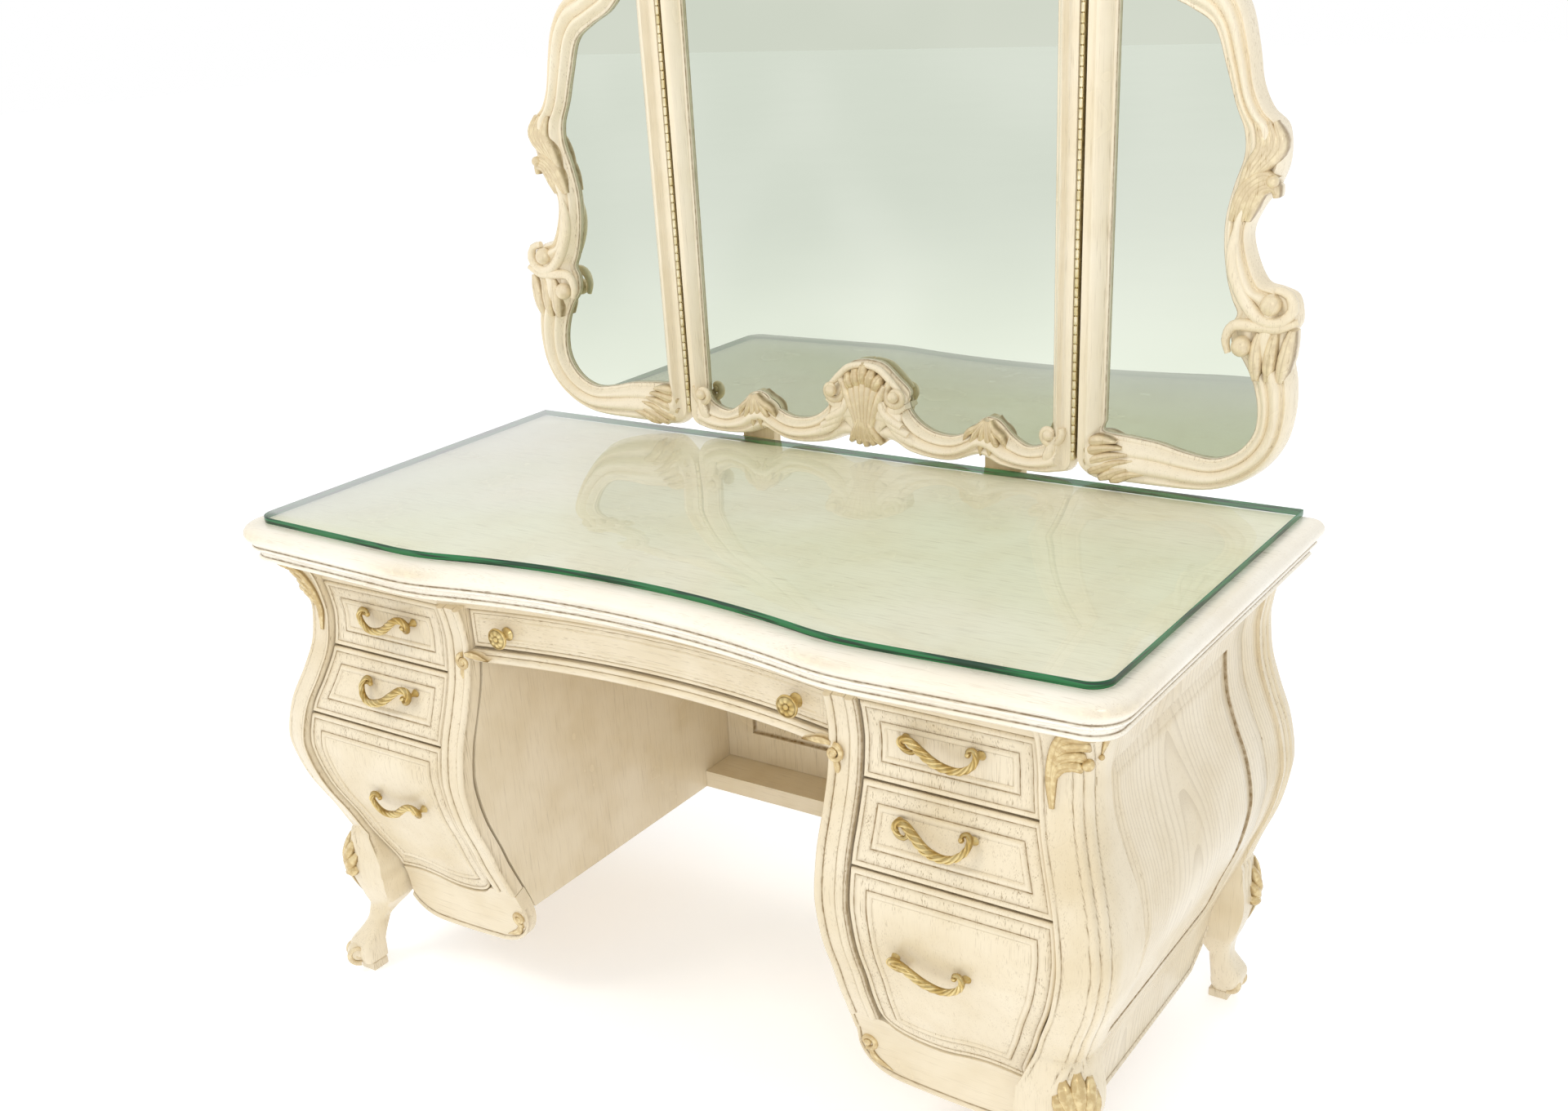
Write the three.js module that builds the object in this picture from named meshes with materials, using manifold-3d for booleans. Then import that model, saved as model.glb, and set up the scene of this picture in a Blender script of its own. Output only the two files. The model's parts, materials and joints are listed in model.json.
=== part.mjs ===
// Dressing table with a swelling (bombé) twin-pedestal carcass, a glass top and a three-panel mirror.
// Units are millimetres, +Z is up, the drawers face -Y and X runs along the width.
// Depths are written as distances forward of the back edge of the glass; the last group centres them.
import * as THREE from "three";
import { mergeVertices } from "three/addons/utils/BufferGeometryUtils.js";
import Module from "manifold-3d";

const wasm = await Module();
wasm.setup();

// ---- Driving dimensions ----------------------------------------------------------------------
const DESK_HEIGHT = 780;
const GLASS_THICKNESS = 10;
const TOP_UNDERSIDE = 716;
const TOP_NOSE_UNDERSIDE = 740;
const TOP_OVERHANG = 31;
const TOP_MOULDING_OVERHANG = 17;
const GLASS_HALF_WIDTH = 671;
const GLASS_CORNER_DEPTH = 642;
const GLASS_SHOULDER_DEPTH = 655;
const GLASS_BOW_DEPTH = 613;
const SHOULDER_X = 330;

const SIDE_WAIST = 645.3;
const FRONT_WAIST = 616;
const DRAWER_WAIST = 607;
const STILE_WAIST = 612;
const SIDE_PANEL_SETBACK = 5;
const POST_DEPTH = 60;
const POST_INNER = 582;
const BACK_POST_DEPTH = 64;
const WAIST_HEIGHT = 627;
const KNEE_HEIGHT = 250;

const FRONT_THICKNESS = 20;
const PANEL_THICKNESS = 18;
const BOARD_THICKNESS = 12;
const KNEEHOLE_HALF_WIDTH = 300;
const KNEEHOLE_PANEL_THICKNESS = 16;
const STILE_OUTER = 346;
const CARCASS_BOTTOM = 185;
const STILE_BOTTOM = 207;
const KNEEHOLE_PANEL_BOTTOM = 170;
const DRAWER_TOP = 684;
const DRAWER_SEAMS = [580, 475];
const DRAWER_GAP = 2.5;
const APRON_BOTTOM = 90;
const BEHIND_FRIEZE = 580;
const GAP = 0.4;

const HANDLE_X = 458;
const HANDLE_HEIGHTS = [639, 535, 353];
const HANDLE_REACH = 22;
const KNOB_X = 241;
const KNOB_HEIGHT = 652;
const KNOB_RADIUS = 12;

const HINGE_X = 341;
const HINGE_DEPTH = 12;
const FRAME_FRONT = 26;
const FRAME_BACK = -10;
const HINGE_SEAM = 2.5;
const STILE_STEP = 18;
const MIRROR_GLASS_FRONT = -2;
const MIRROR_GLASS_THICKNESS = 3;
const REBATE = 6;
const HINGE_BOTTOM = 812;
const HINGE_TOP = 1574;
const KNUCKLES = 8;
const SUPPORT_BACK = 28;
const SUPPORT_X = 220;
const POST_ROUNDING = 50;
const FOOT_ROUNDING = 17;
const BACK_POST_ROUNDING = 18;
const BACK_FOOT_ROUNDING = 6;

// Outward stand-off of the carcass from its waist at each height: [height, swell].
const SWELL = [
  [TOP_UNDERSIDE, 28], [700, 15], [676, 6.4], [650, 1.5], [WAIST_HEIGHT, 0], [579, 6], [533, 21],
  [487, 38.6], [435, 48.7], [399, 46.7], [350, 35.7], [298, 15.7], [260, 2.7], [200, -22],
  [156, -36], [60, -44],
];

// ---- Materials -------------------------------------------------------------------------------
const paintedWood = (colour) => new THREE.MeshStandardMaterial({ color: colour, roughness: 0.5 });
const CREAM = paintedWood(0xe8dbbe);
const DRAWER_WOOD = paintedWood(0xd9c39a);
const BRASS = new THREE.MeshStandardMaterial({ color: 0xd9be7a, roughness: 0.25, metalness: 1 });
const MIRROR = new THREE.MeshStandardMaterial({ color: 0xe4e8e4, roughness: 0.03, metalness: 1 });
const BACKING = paintedWood(0x8a7356);
const GLASS = new THREE.MeshStandardMaterial({
  color: 0xdfeede, roughness: 0.05, transparent: true, opacity: 0.35,
});

// ---- Solids ----------------------------------------------------------------------------------
function solidOf(geometry) {
  const bare = geometry.clone();
  bare.deleteAttribute("normal");
  bare.deleteAttribute("uv");
  const merged = mergeVertices(bare, 1e-4);
  return new wasm.Manifold(
    new wasm.Mesh({
      numProp: 3,
      vertProperties: merged.attributes.position.array,
      triVerts: new Uint32Array(merged.index.array),
    }),
  );
}

function geometryOf(solid) {
  const mesh = solid.getMesh();
  const positions = new Float32Array(mesh.numVert * 3);
  for (let i = 0; i < mesh.numVert; i += 1) {
    const start = i * mesh.numProp;
    positions.set(mesh.vertProperties.subarray(start, start + 3), i * 3);
  }
  const geometry = new THREE.BufferGeometry();
  geometry.setAttribute("position", new THREE.BufferAttribute(positions, 3));
  geometry.setIndex(new THREE.BufferAttribute(mesh.triVerts, 1));
  geometry.computeVertexNormals();
  return geometry;
}

function piece(name, solid, material) {
  const geometry = solid.isBufferGeometry ? solid : geometryOf(solid);
  const mesh = new THREE.Mesh(geometry, material);
  mesh.name = name;
  return mesh;
}

const point = ([u, v]) => new THREE.Vector2(u, v);
const shapeOf = (points) => new THREE.Shape(points.map(point));

// A shape of (forward depth, height) points, run along X from left to right.
function runAcross(shape, left, right) {
  const geometry = new THREE.ExtrudeGeometry(shape, { depth: right - left, bevelEnabled: false });
  const axes = new THREE.Matrix4().makeBasis(
    new THREE.Vector3(0, -1, 0), new THREE.Vector3(0, 0, 1), new THREE.Vector3(-1, 0, 0),
  );
  return geometry.applyMatrix4(axes).translate(right, 0, 0);
}

// A shape of (x, height) points, run forward along -Y from one depth to a deeper one.
function runForward(shape, backDepth, frontDepth, curveSegments = 5) {
  const options = { depth: frontDepth - backDepth, bevelEnabled: false, curveSegments };
  const geometry = new THREE.ExtrudeGeometry(shape, options);
  return geometry.rotateX(Math.PI / 2).translate(0, -backDepth, 0);
}

// A shape of (x, y) points, run up from one height to another.
function runUp(shape, low, high, curveSegments = 7) {
  const options = { depth: high - low, bevelEnabled: false, curveSegments };
  return new THREE.ExtrudeGeometry(shape, options).translate(0, 0, low);
}

function box(x, depth, z) {
  const geometry = new THREE.BoxGeometry(x[1] - x[0], depth[1] - depth[0], z[1] - z[0]);
  return geometry.translate((x[0] + x[1]) / 2, -(depth[0] + depth[1]) / 2, (z[0] + z[1]) / 2);
}

const both = (a, b) => solidOf(a).intersect(solidOf(b));

// ---- The swell -------------------------------------------------------------------------------
const swellCurve = new THREE.SplineCurve(SWELL.map(([height, out]) => point([out, height])));
const swellLine = swellCurve.getPoints(15 * SWELL.length);

function swell(height) {
  const next = Math.max(1, swellLine.findIndex((p) => p.y <= height));
  const above = swellLine[next - 1];
  const below = swellLine[next];
  const share = (above.y - height) / (above.y - below.y);
  return above.x + (below.x - above.x) * share;
}

// Points [waist + swell, height] from low to high. Every edge shares the same inner heights, so boards
// that follow each other keep an even gap.
const STEP = 27;
function swellEdge(waist, low, high) {
  const heights = [low];
  for (let height = STEP * Math.ceil((low + 2) / STEP); height < high - 2; height += STEP) {
    heights.push(height);
  }
  heights.push(high);
  return heights.map((height) => [waist + swell(height), height]);
}

// A board of even thickness that follows the swell.
function swellBoard(waist, thickness, low, high) {
  const inner = swellEdge(waist - thickness, low, high).reverse();
  return shapeOf([...swellEdge(waist, low, high), ...inner]);
}

// The inner edge of a front post, where the drawers and the back panel meet it.
const postInner = (height) => POST_INNER + (height > WAIST_HEIGHT ? 0 : Math.max(swell(height), -20));
function postInnerEdge(offset, low, high) {
  return swellEdge(0, low, high).map(([, height]) => [postInner(height) + offset, height]);
}

// ---- Top -------------------------------------------------------------------------------------
// Plan of the serpentine top, drawn `over` millimetres outside the glass on its three free sides.
function topPlan(over, cornerRadius) {
  const half = GLASS_HALF_WIDTH + over;
  const corner = GLASS_CORNER_DEPTH + over;
  const shoulder = GLASS_SHOULDER_DEPTH + over;
  const bow = GLASS_BOW_DEPTH + over;
  const soften = 45;
  const bowRadius = (SHOULDER_X ** 2 + (shoulder - bow) ** 2) / (2 * (shoulder - bow));
  const turn = Math.asin((SHOULDER_X - soften) / bowRadius);
  const arcDrop = bowRadius * (1 - Math.cos(turn));
  const straightDrop = ((shoulder - corner) * soften) / (half - SHOULDER_X);
  const plan = new THREE.Shape();
  plan.moveTo(-half, 0);
  plan.lineTo(-half, -corner + cornerRadius);
  plan.absarc(-half + cornerRadius, -corner + cornerRadius, cornerRadius, Math.PI, 1.5 * Math.PI);
  plan.lineTo(-SHOULDER_X - soften, -shoulder + straightDrop);
  plan.quadraticCurveTo(-SHOULDER_X, -shoulder, -SHOULDER_X + soften, -bow - arcDrop);
  plan.absarc(0, -bow - bowRadius, bowRadius, Math.PI / 2 + turn, Math.PI / 2 - turn, true);
  plan.quadraticCurveTo(SHOULDER_X, -shoulder, SHOULDER_X + soften, -shoulder + straightDrop);
  plan.lineTo(half - cornerRadius, -corner);
  plan.absarc(half - cornerRadius, -corner + cornerRadius, cornerRadius, -Math.PI / 2, 0);
  plan.lineTo(half, 0);
  return plan;
}

function topPieces() {
  const woodTop = DESK_HEIGHT - GLASS_THICKNESS;
  const glass = runUp(topPlan(0, 28), woodTop + GAP, DESK_HEIGHT);
  const nose = runUp(topPlan(TOP_OVERHANG, 52), TOP_NOSE_UNDERSIDE, woodTop);
  const moulding = runUp(topPlan(TOP_MOULDING_OVERHANG, 40), TOP_UNDERSIDE, TOP_NOSE_UNDERSIDE);
  return [
    piece("glass_top", glass, GLASS),
    piece("top_board", solidOf(nose).add(solidOf(moulding)), CREAM),
  ];
}

// Plan band that follows the bowed front between two depths measured at the shoulders.
function bowBand(halfWidth, frontDepth, thickness) {
  const bowRise = GLASS_SHOULDER_DEPTH - GLASS_BOW_DEPTH;
  const bowRadius = (SHOULDER_X ** 2 + bowRise ** 2) / (2 * bowRise);
  const depthAt = (x) => {
    const inside = Math.min(Math.abs(x), SHOULDER_X);
    return bowRise - bowRadius + Math.sqrt(bowRadius ** 2 - inside ** 2);
  };
  const count = 16;
  const xs = Array.from({ length: count + 1 }, (_, i) => halfWidth * ((2 * i) / count - 1));
  const front = xs.map((x) => [x, -frontDepth + depthAt(x)]);
  const back = xs.map((x) => [x, -frontDepth + thickness + depthAt(x)]).reverse();
  return shapeOf([...front, ...back]);
}

function friezeRail() {
  const depth = DRAWER_WAIST + 8;
  const low = DRAWER_TOP + DRAWER_GAP;
  const high = TOP_UNDERSIDE - GAP;
  const bowed = runUp(bowBand(STILE_OUTER, depth, FRONT_THICKNESS), low, high);
  const end = (x) => solidOf(box(x, [depth - FRONT_THICKNESS, depth], [low, high]));
  const rail = solidOf(bowed)
    .add(end([STILE_OUTER - 1, POST_INNER - GAP]))
    .add(end([-POST_INNER + GAP, -STILE_OUTER + 1]));
  return piece("front_frieze_rail", rail, CREAM);
}

// ---- Posts and cabriole legs -----------------------------------------------------------------
// Outer line of a leg below the knee as [stand-off from the waist line, height], down to the floor.
const LEG_OUTER = [
  [5, 222], [9, 196], [8, 165], [-1, 130], [-10, 105], [-11, 82], [-3, 64], [6, 48], [4, 30],
];
const LEG_TOE = [-6, 14];
const PAD = { outer: -14, inner: -41, height: 14 };
// Inner line of a leg, from the heel up to the joint with the aprons, in the same terms.
const LEG_INNER = [[-48, 30], [-55, 60], [-57, 84]];
const APRON_JOINT = [[-72, 104], [-87, 128], [-87, 183]];
const TOE_SPLAY = 41;
const ANKLE_HEIGHT = 105;

// Front legs reach further forward than sideways: the extra stand-off below the ankle.
const splay = (height) => TOE_SPLAY * Math.max(0, 1 - height / ANKLE_HEIGHT) ** 0.8;

function legOutline(waist, inner, topInner, extra = () => 0) {
  const at = ([out, height]) => [waist + out + extra(height), height];
  return [
    ...swellEdge(waist, KNEE_HEIGHT, TOP_UNDERSIDE - GAP).reverse(),
    ...LEG_OUTER.map(at),
    at(LEG_TOE),
    at([PAD.outer, PAD.height]),
    at([PAD.outer, 0]),
    at([PAD.inner, 0]),
    at([PAD.inner, PAD.height]),
    ...LEG_INNER.map(at),
    ...inner,
    ...topInner,
  ];
}

function sideLegShape() {
  const joint = APRON_JOINT.map(([out, height]) => [SIDE_WAIST + out, height]);
  return shapeOf(legOutline(SIDE_WAIST, joint, postInnerEdge(0, 210, TOP_UNDERSIDE - GAP)));
}

function frontLegShape() {
  const back = FRONT_WAIST - POST_DEPTH;
  const joint = [[back, 120], [back, TOP_UNDERSIDE - GAP]];
  return shapeOf(legOutline(FRONT_WAIST, joint, [], splay));
}

// The back posts stand flat against the wall down to the knee.
function backLegShape() {
  const high = TOP_UNDERSIDE - GAP;
  const flat = [[0, high], [0, 165], [10, 118], [13, 82], [5, 64], [0, 48], [2, 26]];
  const pad = [[12, PAD.height], [12, 0], [40, 0], [40, PAD.height]];
  const heel = [[46, 30], [52, 60], [54, 84], [BACK_POST_DEPTH, 120], [BACK_POST_DEPTH, high]];
  return shapeOf([...flat, ...pad, ...heel]);
}

// Slab square to the diagonal of a post's outer corner, cut back to [distance, height] points.
function diagonalSlab(outer, direction) {
  const last = outer[outer.length - 1][0];
  const shape = shapeOf([...outer, [last, -1], [0, -1], [0, TOP_UNDERSIDE]]);
  const width = 2 * DESK_HEIGHT;
  const geometry = new THREE.ExtrudeGeometry(shape, { depth: width, bevelEnabled: false });
  const outward = new THREE.Vector3(1, direction, 0).normalize();
  const up = new THREE.Vector3(0, 0, 1);
  const across = outward.clone().cross(up);
  geometry.applyMatrix4(new THREE.Matrix4().makeBasis(outward, up, across));
  return geometry.translate(-across.x * (width / 2), -across.y * (width / 2), 0);
}

// Depth that a rounding of this radius takes off a square corner, on the diagonal.
const cornerCut = (radius) => radius * (Math.SQRT2 - 1);
const postHeights = swellEdge(0, KNEE_HEIGHT, TOP_UNDERSIDE).map(([, height]) => height).reverse();

function frontCornerSlab() {
  const corner = SIDE_WAIST + FRONT_WAIST;
  const upper = postHeights.map((height) => {
    return [(corner + 2 * swell(height)) / Math.SQRT2 - cornerCut(POST_ROUNDING), height];
  });
  const lower = LEG_OUTER.map(([out, height]) => {
    const diagonal = (corner + 2 * out + splay(height)) / Math.SQRT2;
    return [diagonal - cornerCut(FOOT_ROUNDING), height];
  });
  return diagonalSlab([...upper, ...lower], -1);
}

function legPost(name, depthShape, slab) {
  const side = runForward(sideLegShape(), -20, FRONT_WAIST + 90);
  const post = both(side, runAcross(depthShape, POST_INNER - 60, SIDE_WAIST + 60));
  return piece(name, post.intersect(solidOf(slab)), CREAM);
}

// The back face has no swell, so its corner follows the side alone.
function backCornerSlab() {
  const upper = postHeights.map((height) => {
    return [(SIDE_WAIST + swell(height)) / Math.SQRT2 - cornerCut(BACK_POST_ROUNDING), height];
  });
  const lower = LEG_OUTER.map(([out, height]) => {
    const diagonal = (SIDE_WAIST + out + Math.min(out, 0)) / Math.SQRT2;
    return [diagonal - cornerCut(BACK_FOOT_ROUNDING), height];
  });
  return diagonalSlab([...upper, ...lower], 1);
}

// ---- Pedestal --------------------------------------------------------------------------------
// Lower edge of the bottom drawer front, from its inner corner to the post: [x, height].
const DRAWER_FOOT = [
  [350, 234], [355, 212], [370, 195], [402, 184], [442, 182], [480, 190], [515, 192], [556, 186],
];

function drawerFoot(offset) {
  const curve = new THREE.SplineCurve(DRAWER_FOOT.map(([x, height]) => point([x, height + offset])));
  return curve.getPoints(14).map((p) => [p.x, p.y]);
}

// Front elevation of one pedestal drawer front, as [x, height] points.
function drawerOutline(index) {
  const high = index === 0 ? DRAWER_TOP : DRAWER_SEAMS[index - 1] - DRAWER_GAP / 2;
  const inner = STILE_OUTER + 2;
  if (index < 2) {
    const low = DRAWER_SEAMS[index] + DRAWER_GAP / 2;
    return [[inner, high], [inner, low], ...postInnerEdge(-2, low, high)];
  }
  return [[inner, high], [inner, 250], ...drawerFoot(0), ...postInnerEdge(-2, 215, high)];
}

const DRAWER_NAMES = ["top", "middle", "bottom"];

function drawerFront(index, suffix) {
  const board = swellBoard(DRAWER_WAIST, FRONT_THICKNESS, 150, DRAWER_TOP + 5);
  const face = runForward(shapeOf(drawerOutline(index)), 400, 800);
  const solid = both(runAcross(board, STILE_OUTER, SIDE_WAIST + 60), face);
  return piece(`drawer_front_${DRAWER_NAMES[index]}_${suffix}`, solid, CREAM);
}

const BOX_INNER = 351;
const BOX_OUTER = 568;
const BOX_BACK = 44;
const BOX_WALL = 11;
const BOX_FLOOR = 7;
const BOX_HEIGHTS = [[589, 676], [484, 568], [228, 460]];

// Side elevation of a drawer box: its front edge follows the back of the drawer front.
function boxElevation(back, low, high) {
  const edge = swellEdge(DRAWER_WAIST - FRONT_THICKNESS - GAP, low, high);
  return shapeOf([...edge, [back, high], [back, low]]);
}

function drawerBox(index, suffix) {
  const [low, high] = BOX_HEIGHTS[index];
  const outside = runAcross(boxElevation(BOX_BACK, low, high), BOX_INNER, BOX_OUTER);
  const room = box(
    [BOX_INNER + BOX_WALL, BOX_OUTER - BOX_WALL],
    [BOX_BACK + BOX_WALL, FRONT_WAIST + 90],
    [low + BOX_FLOOR, high + 10],
  );
  const solid = solidOf(outside).subtract(solidOf(room));
  return piece(`drawer_box_${DRAWER_NAMES[index]}_${suffix}`, solid, DRAWER_WOOD);
}

// Upright, two dust boards and a floor, joined into one frame that the drawers run in.
function drawerRack(suffix) {
  const inner = KNEEHOLE_HALF_WIDTH + KNEEHOLE_PANEL_THICKNESS + GAP;
  const [front, back] = [FRONT_WAIST - POST_DEPTH - GAP, BACK_POST_DEPTH + GAP];
  const uprightX = [BOX_OUTER + 3, BOX_OUTER + 3 + BOARD_THICKNESS];
  const boardTops = BOX_HEIGHTS.map(([low]) => low - 4);
  const uprightZ = [boardTops[2] - BOARD_THICKNESS, TOP_UNDERSIDE - GAP];
  let rack = solidOf(box(uprightX, [back, front], uprightZ));
  for (const top of boardTops) {
    rack = rack.add(
      solidOf(box([inner, uprightX[0] + 1], [back, front], [top - BOARD_THICKNESS, top])),
    );
  }
  return piece(`drawer_rack_${suffix}`, rack, DRAWER_WOOD);
}

function sidePanel(suffix) {
  const waist = SIDE_WAIST - SIDE_PANEL_SETBACK;
  const board = swellBoard(waist, PANEL_THICKNESS, APRON_BOTTOM - 12, TOP_UNDERSIDE - GAP);
  const [back, front] = [BACK_POST_DEPTH + GAP, FRONT_WAIST - POST_DEPTH - GAP];
  const elevation = new THREE.Shape();
  elevation.moveTo(-front, TOP_UNDERSIDE);
  elevation.lineTo(-front, 136);
  elevation.quadraticCurveTo(-front + 20, APRON_BOTTOM - 8, -front + 70, APRON_BOTTOM - 8);
  elevation.lineTo(-back - 70, APRON_BOTTOM - 8);
  elevation.quadraticCurveTo(-back - 20, APRON_BOTTOM - 8, -back, 136);
  elevation.lineTo(-back, TOP_UNDERSIDE);
  const options = { depth: 200, bevelEnabled: false, curveSegments: 6 };
  const cutter = new THREE.ExtrudeGeometry(elevation, options);
  const axes = new THREE.Matrix4().makeBasis(
    new THREE.Vector3(0, 1, 0), new THREE.Vector3(0, 0, 1), new THREE.Vector3(1, 0, 0),
  );
  cutter.applyMatrix4(axes).translate(SIDE_WAIST - 100, 0, 0);
  return piece(`side_panel_${suffix}`, both(runForward(board, back, front), cutter), CREAM);
}

function kneeholePanel(suffix) {
  const front = swellEdge(DRAWER_WAIST - FRONT_THICKNESS - 1, KNEEHOLE_PANEL_BOTTOM, DRAWER_TOP);
  const high = TOP_UNDERSIDE - GAP;
  const behindFrieze = [[BEHIND_FRIEZE, DRAWER_TOP], [BEHIND_FRIEZE, high]];
  const outline = [[1, KNEEHOLE_PANEL_BOTTOM], ...front, ...behindFrieze, [1, high]];
  const outer = KNEEHOLE_HALF_WIDTH + KNEEHOLE_PANEL_THICKNESS;
  const panel = runAcross(shapeOf(outline), KNEEHOLE_HALF_WIDTH, outer);
  return piece(`kneehole_panel_${suffix}`, panel, CREAM);
}

function innerStile(suffix) {
  const high = DRAWER_TOP + DRAWER_GAP - GAP;
  const board = swellBoard(STILE_WAIST, FRONT_THICKNESS, STILE_BOTTOM, high);
  return piece(`inner_stile_${suffix}`, runAcross(board, KNEEHOLE_HALF_WIDTH, STILE_OUTER), CREAM);
}

function frontApron(suffix) {
  const swelled = swellBoard(DRAWER_WAIST, FRONT_THICKNESS, APRON_BOTTOM - 20, STILE_BOTTOM + 30);
  const board = runAcross(swelled, KNEEHOLE_HALF_WIDTH - 5, POST_INNER);
  const elevation = new THREE.Shape();
  const top = STILE_BOTTOM - GAP;
  elevation.moveTo(KNEEHOLE_HALF_WIDTH, top);
  elevation.lineTo(KNEEHOLE_HALF_WIDTH, 158);
  elevation.quadraticCurveTo(308, 104, 362, 97);
  elevation.lineTo(500, APRON_BOTTOM + 2);
  elevation.quadraticCurveTo(540, 94, 557, 122);
  elevation.lineTo(557, 183);
  for (const [x, height] of drawerFoot(-DRAWER_GAP).reverse()) {
    if (x < 552 && height < top - 4) elevation.lineTo(x, height);
  }
  elevation.lineTo(352, top);
  return piece(`front_apron_${suffix}`, both(board, runForward(elevation, 400, 800)), CREAM);
}

function pedestalBack(suffix) {
  const inner = KNEEHOLE_HALF_WIDTH + KNEEHOLE_PANEL_THICKNESS + GAP;
  const high = TOP_UNDERSIDE - GAP;
  const outline = [[inner, high], [inner, CARCASS_BOTTOM], ...postInnerEdge(-GAP, 212, high)];
  return piece(`pedestal_back_${suffix}`, runForward(shapeOf(outline), 1, 1 + BOARD_THICKNESS), CREAM);
}

// ---- Handles and knobs -----------------------------------------------------------------------
// Path of a scrolled pull on the right pedestal: [towards the outer side, height, share of the reach].
const HANDLE_PATH = [
  [-38, -6, 0.55], [-46, -1, 0.6], [-50, 8, 0.7], [-42, 14, 0.85], [-26, 8, 1], [-4, -8, 1],
  [18, -13, 1], [38, -9, 0.85], [49, 3, 0.7], [46, 14, 0.55],
];

function drawerHandle(index, suffix) {
  const height = HANDLE_HEIGHTS[index];
  const face = DRAWER_WAIST + swell(height);
  const path = new THREE.CatmullRomCurve3(
    HANDLE_PATH.map(([x, rise, share]) => {
      return new THREE.Vector3(HANDLE_X + x, -face - HANDLE_REACH * share, height + rise);
    }),
  );
  const section = new THREE.Shape().absarc(0, 0, 4, 0, 2 * Math.PI);
  const bar = new THREE.ExtrudeGeometry(section, { steps: 14, extrudePath: path, curveSegments: 4 });
  const feet = [HANDLE_PATH[2], HANDLE_PATH[8]].map(([x, rise, share]) => {
    const foot = new THREE.CylinderGeometry(4.5, 5.5, HANDLE_REACH * share + 12, 6);
    const middle = -face - (HANDLE_REACH * share - 12) / 2;
    return foot.rotateX(Math.PI).translate(HANDLE_X + x, middle, height + rise);
  });
  const board = swellBoard(DRAWER_WAIST + GAP, 60, KNEE_HEIGHT, DRAWER_TOP);
  const front = solidOf(runAcross(board, HANDLE_X - 80, HANDLE_X + 80));
  const solid = feet.reduce((joined, foot) => joined.add(solidOf(foot)), solidOf(bar));
  return piece(`drawer_handle_${DRAWER_NAMES[index]}_${suffix}`, solid.subtract(front), BRASS);
}

function centreKnob(suffix) {
  const profile = [[0, 0], [8, 0], [5, 4], [4.5, 14], [9, 18], [KNOB_RADIUS, 22], [9, 27], [0, 28]];
  const knob = new THREE.LatheGeometry(profile.map(point), 12).rotateX(Math.PI);
  // The back face is flat, so it clears the bowed front by the bow's fall across the knob.
  const depth = centreFrontDepth(KNOB_X) + GAP + 1.5;
  return piece(`centre_knob_${suffix}`, knob.translate(KNOB_X, -depth, KNOB_HEIGHT), BRASS);
}

function pedestal(suffix) {
  const side = new THREE.Group();
  side.add(
    legPost(`leg_post_front_${suffix}`, frontLegShape(), frontCornerSlab()),
    legPost(`leg_post_back_${suffix}`, backLegShape(), backCornerSlab()),
    sidePanel(suffix),
    kneeholePanel(suffix),
    innerStile(suffix),
    frontApron(suffix),
    pedestalBack(suffix),
    drawerRack(suffix),
    centreKnob(suffix),
  );
  for (let index = 0; index < DRAWER_NAMES.length; index += 1) {
    side.add(drawerFront(index, suffix), drawerBox(index, suffix), drawerHandle(index, suffix));
  }
  return side;
}

// ---- Kneehole and centre drawer --------------------------------------------------------------
const CENTRE_DRAWER_BOTTOM = 627;
const ARCH_RAIL = [604, 624];
const CENTRE_FRONT_DEPTH = 610;
const CENTRE_HALF_WIDTH = KNEEHOLE_HALF_WIDTH - 2;
const CENTRE_BOX = { half: 282, back: 80, length: 520, low: 634, high: 680 };
const MODESTY = { thickness: 27, border: 55, recess: 7 };

// Depth of the bowed centre drawer front at a distance from the middle.
function centreFrontDepth(x) {
  const bowRise = GLASS_SHOULDER_DEPTH - GLASS_BOW_DEPTH;
  return CENTRE_FRONT_DEPTH - bowRise * (1 - (x / SHOULDER_X) ** 2);
}

function kneeholePieces() {
  const half = KNEEHOLE_HALF_WIDTH - GAP;
  const rail = runUp(bowBand(half, CENTRE_FRONT_DEPTH + 2, 26), ...ARCH_RAIL);
  const ledgeTop = KNEEHOLE_PANEL_BOTTOM + 30;
  const ledge = box([-half, half], [1, 100], [KNEEHOLE_PANEL_BOTTOM, ledgeTop]);
  const { thickness, border, recess } = MODESTY;
  const board = box([-half, half], [1, thickness], [ledgeTop + GAP, TOP_UNDERSIDE - GAP]);
  const field = (left, right) => {
    const heights = [ledgeTop + border, CENTRE_DRAWER_BOTTOM - border / 2];
    return solidOf(box([left, right], [thickness - recess, 2 * thickness], heights));
  };
  const modesty = solidOf(board)
    .subtract(field(-half + border, -border / 2))
    .subtract(field(border / 2, half - border));
  return [
    piece("kneehole_arch_rail", rail, CREAM),
    piece("kneehole_ledge", ledge, CREAM),
    piece("modesty_panel", modesty, CREAM),
  ];
}

function centreDrawer() {
  const front = bowBand(CENTRE_HALF_WIDTH, CENTRE_FRONT_DEPTH, FRONT_THICKNESS);
  const { half, back, length, low, high } = CENTRE_BOX;
  const plan = bowBand(half, CENTRE_FRONT_DEPTH - FRONT_THICKNESS - GAP, length);
  const frontmost = CENTRE_FRONT_DEPTH + 90;
  const room = box(
    [-half + BOX_WALL, half - BOX_WALL],
    [back + BOX_WALL, frontmost],
    [low + BOX_FLOOR, high + 10],
  );
  const rear = box([-half - 10, half + 10], [back, frontmost], [low - 10, high + 10]);
  const tray = both(runUp(plan, low, high), rear).subtract(solidOf(room));
  return [
    piece("centre_drawer_front", runUp(front, CENTRE_DRAWER_BOTTOM, DRAWER_TOP), CREAM),
    piece("centre_drawer_box", tray, DRAWER_WOOD),
  ];
}

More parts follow.
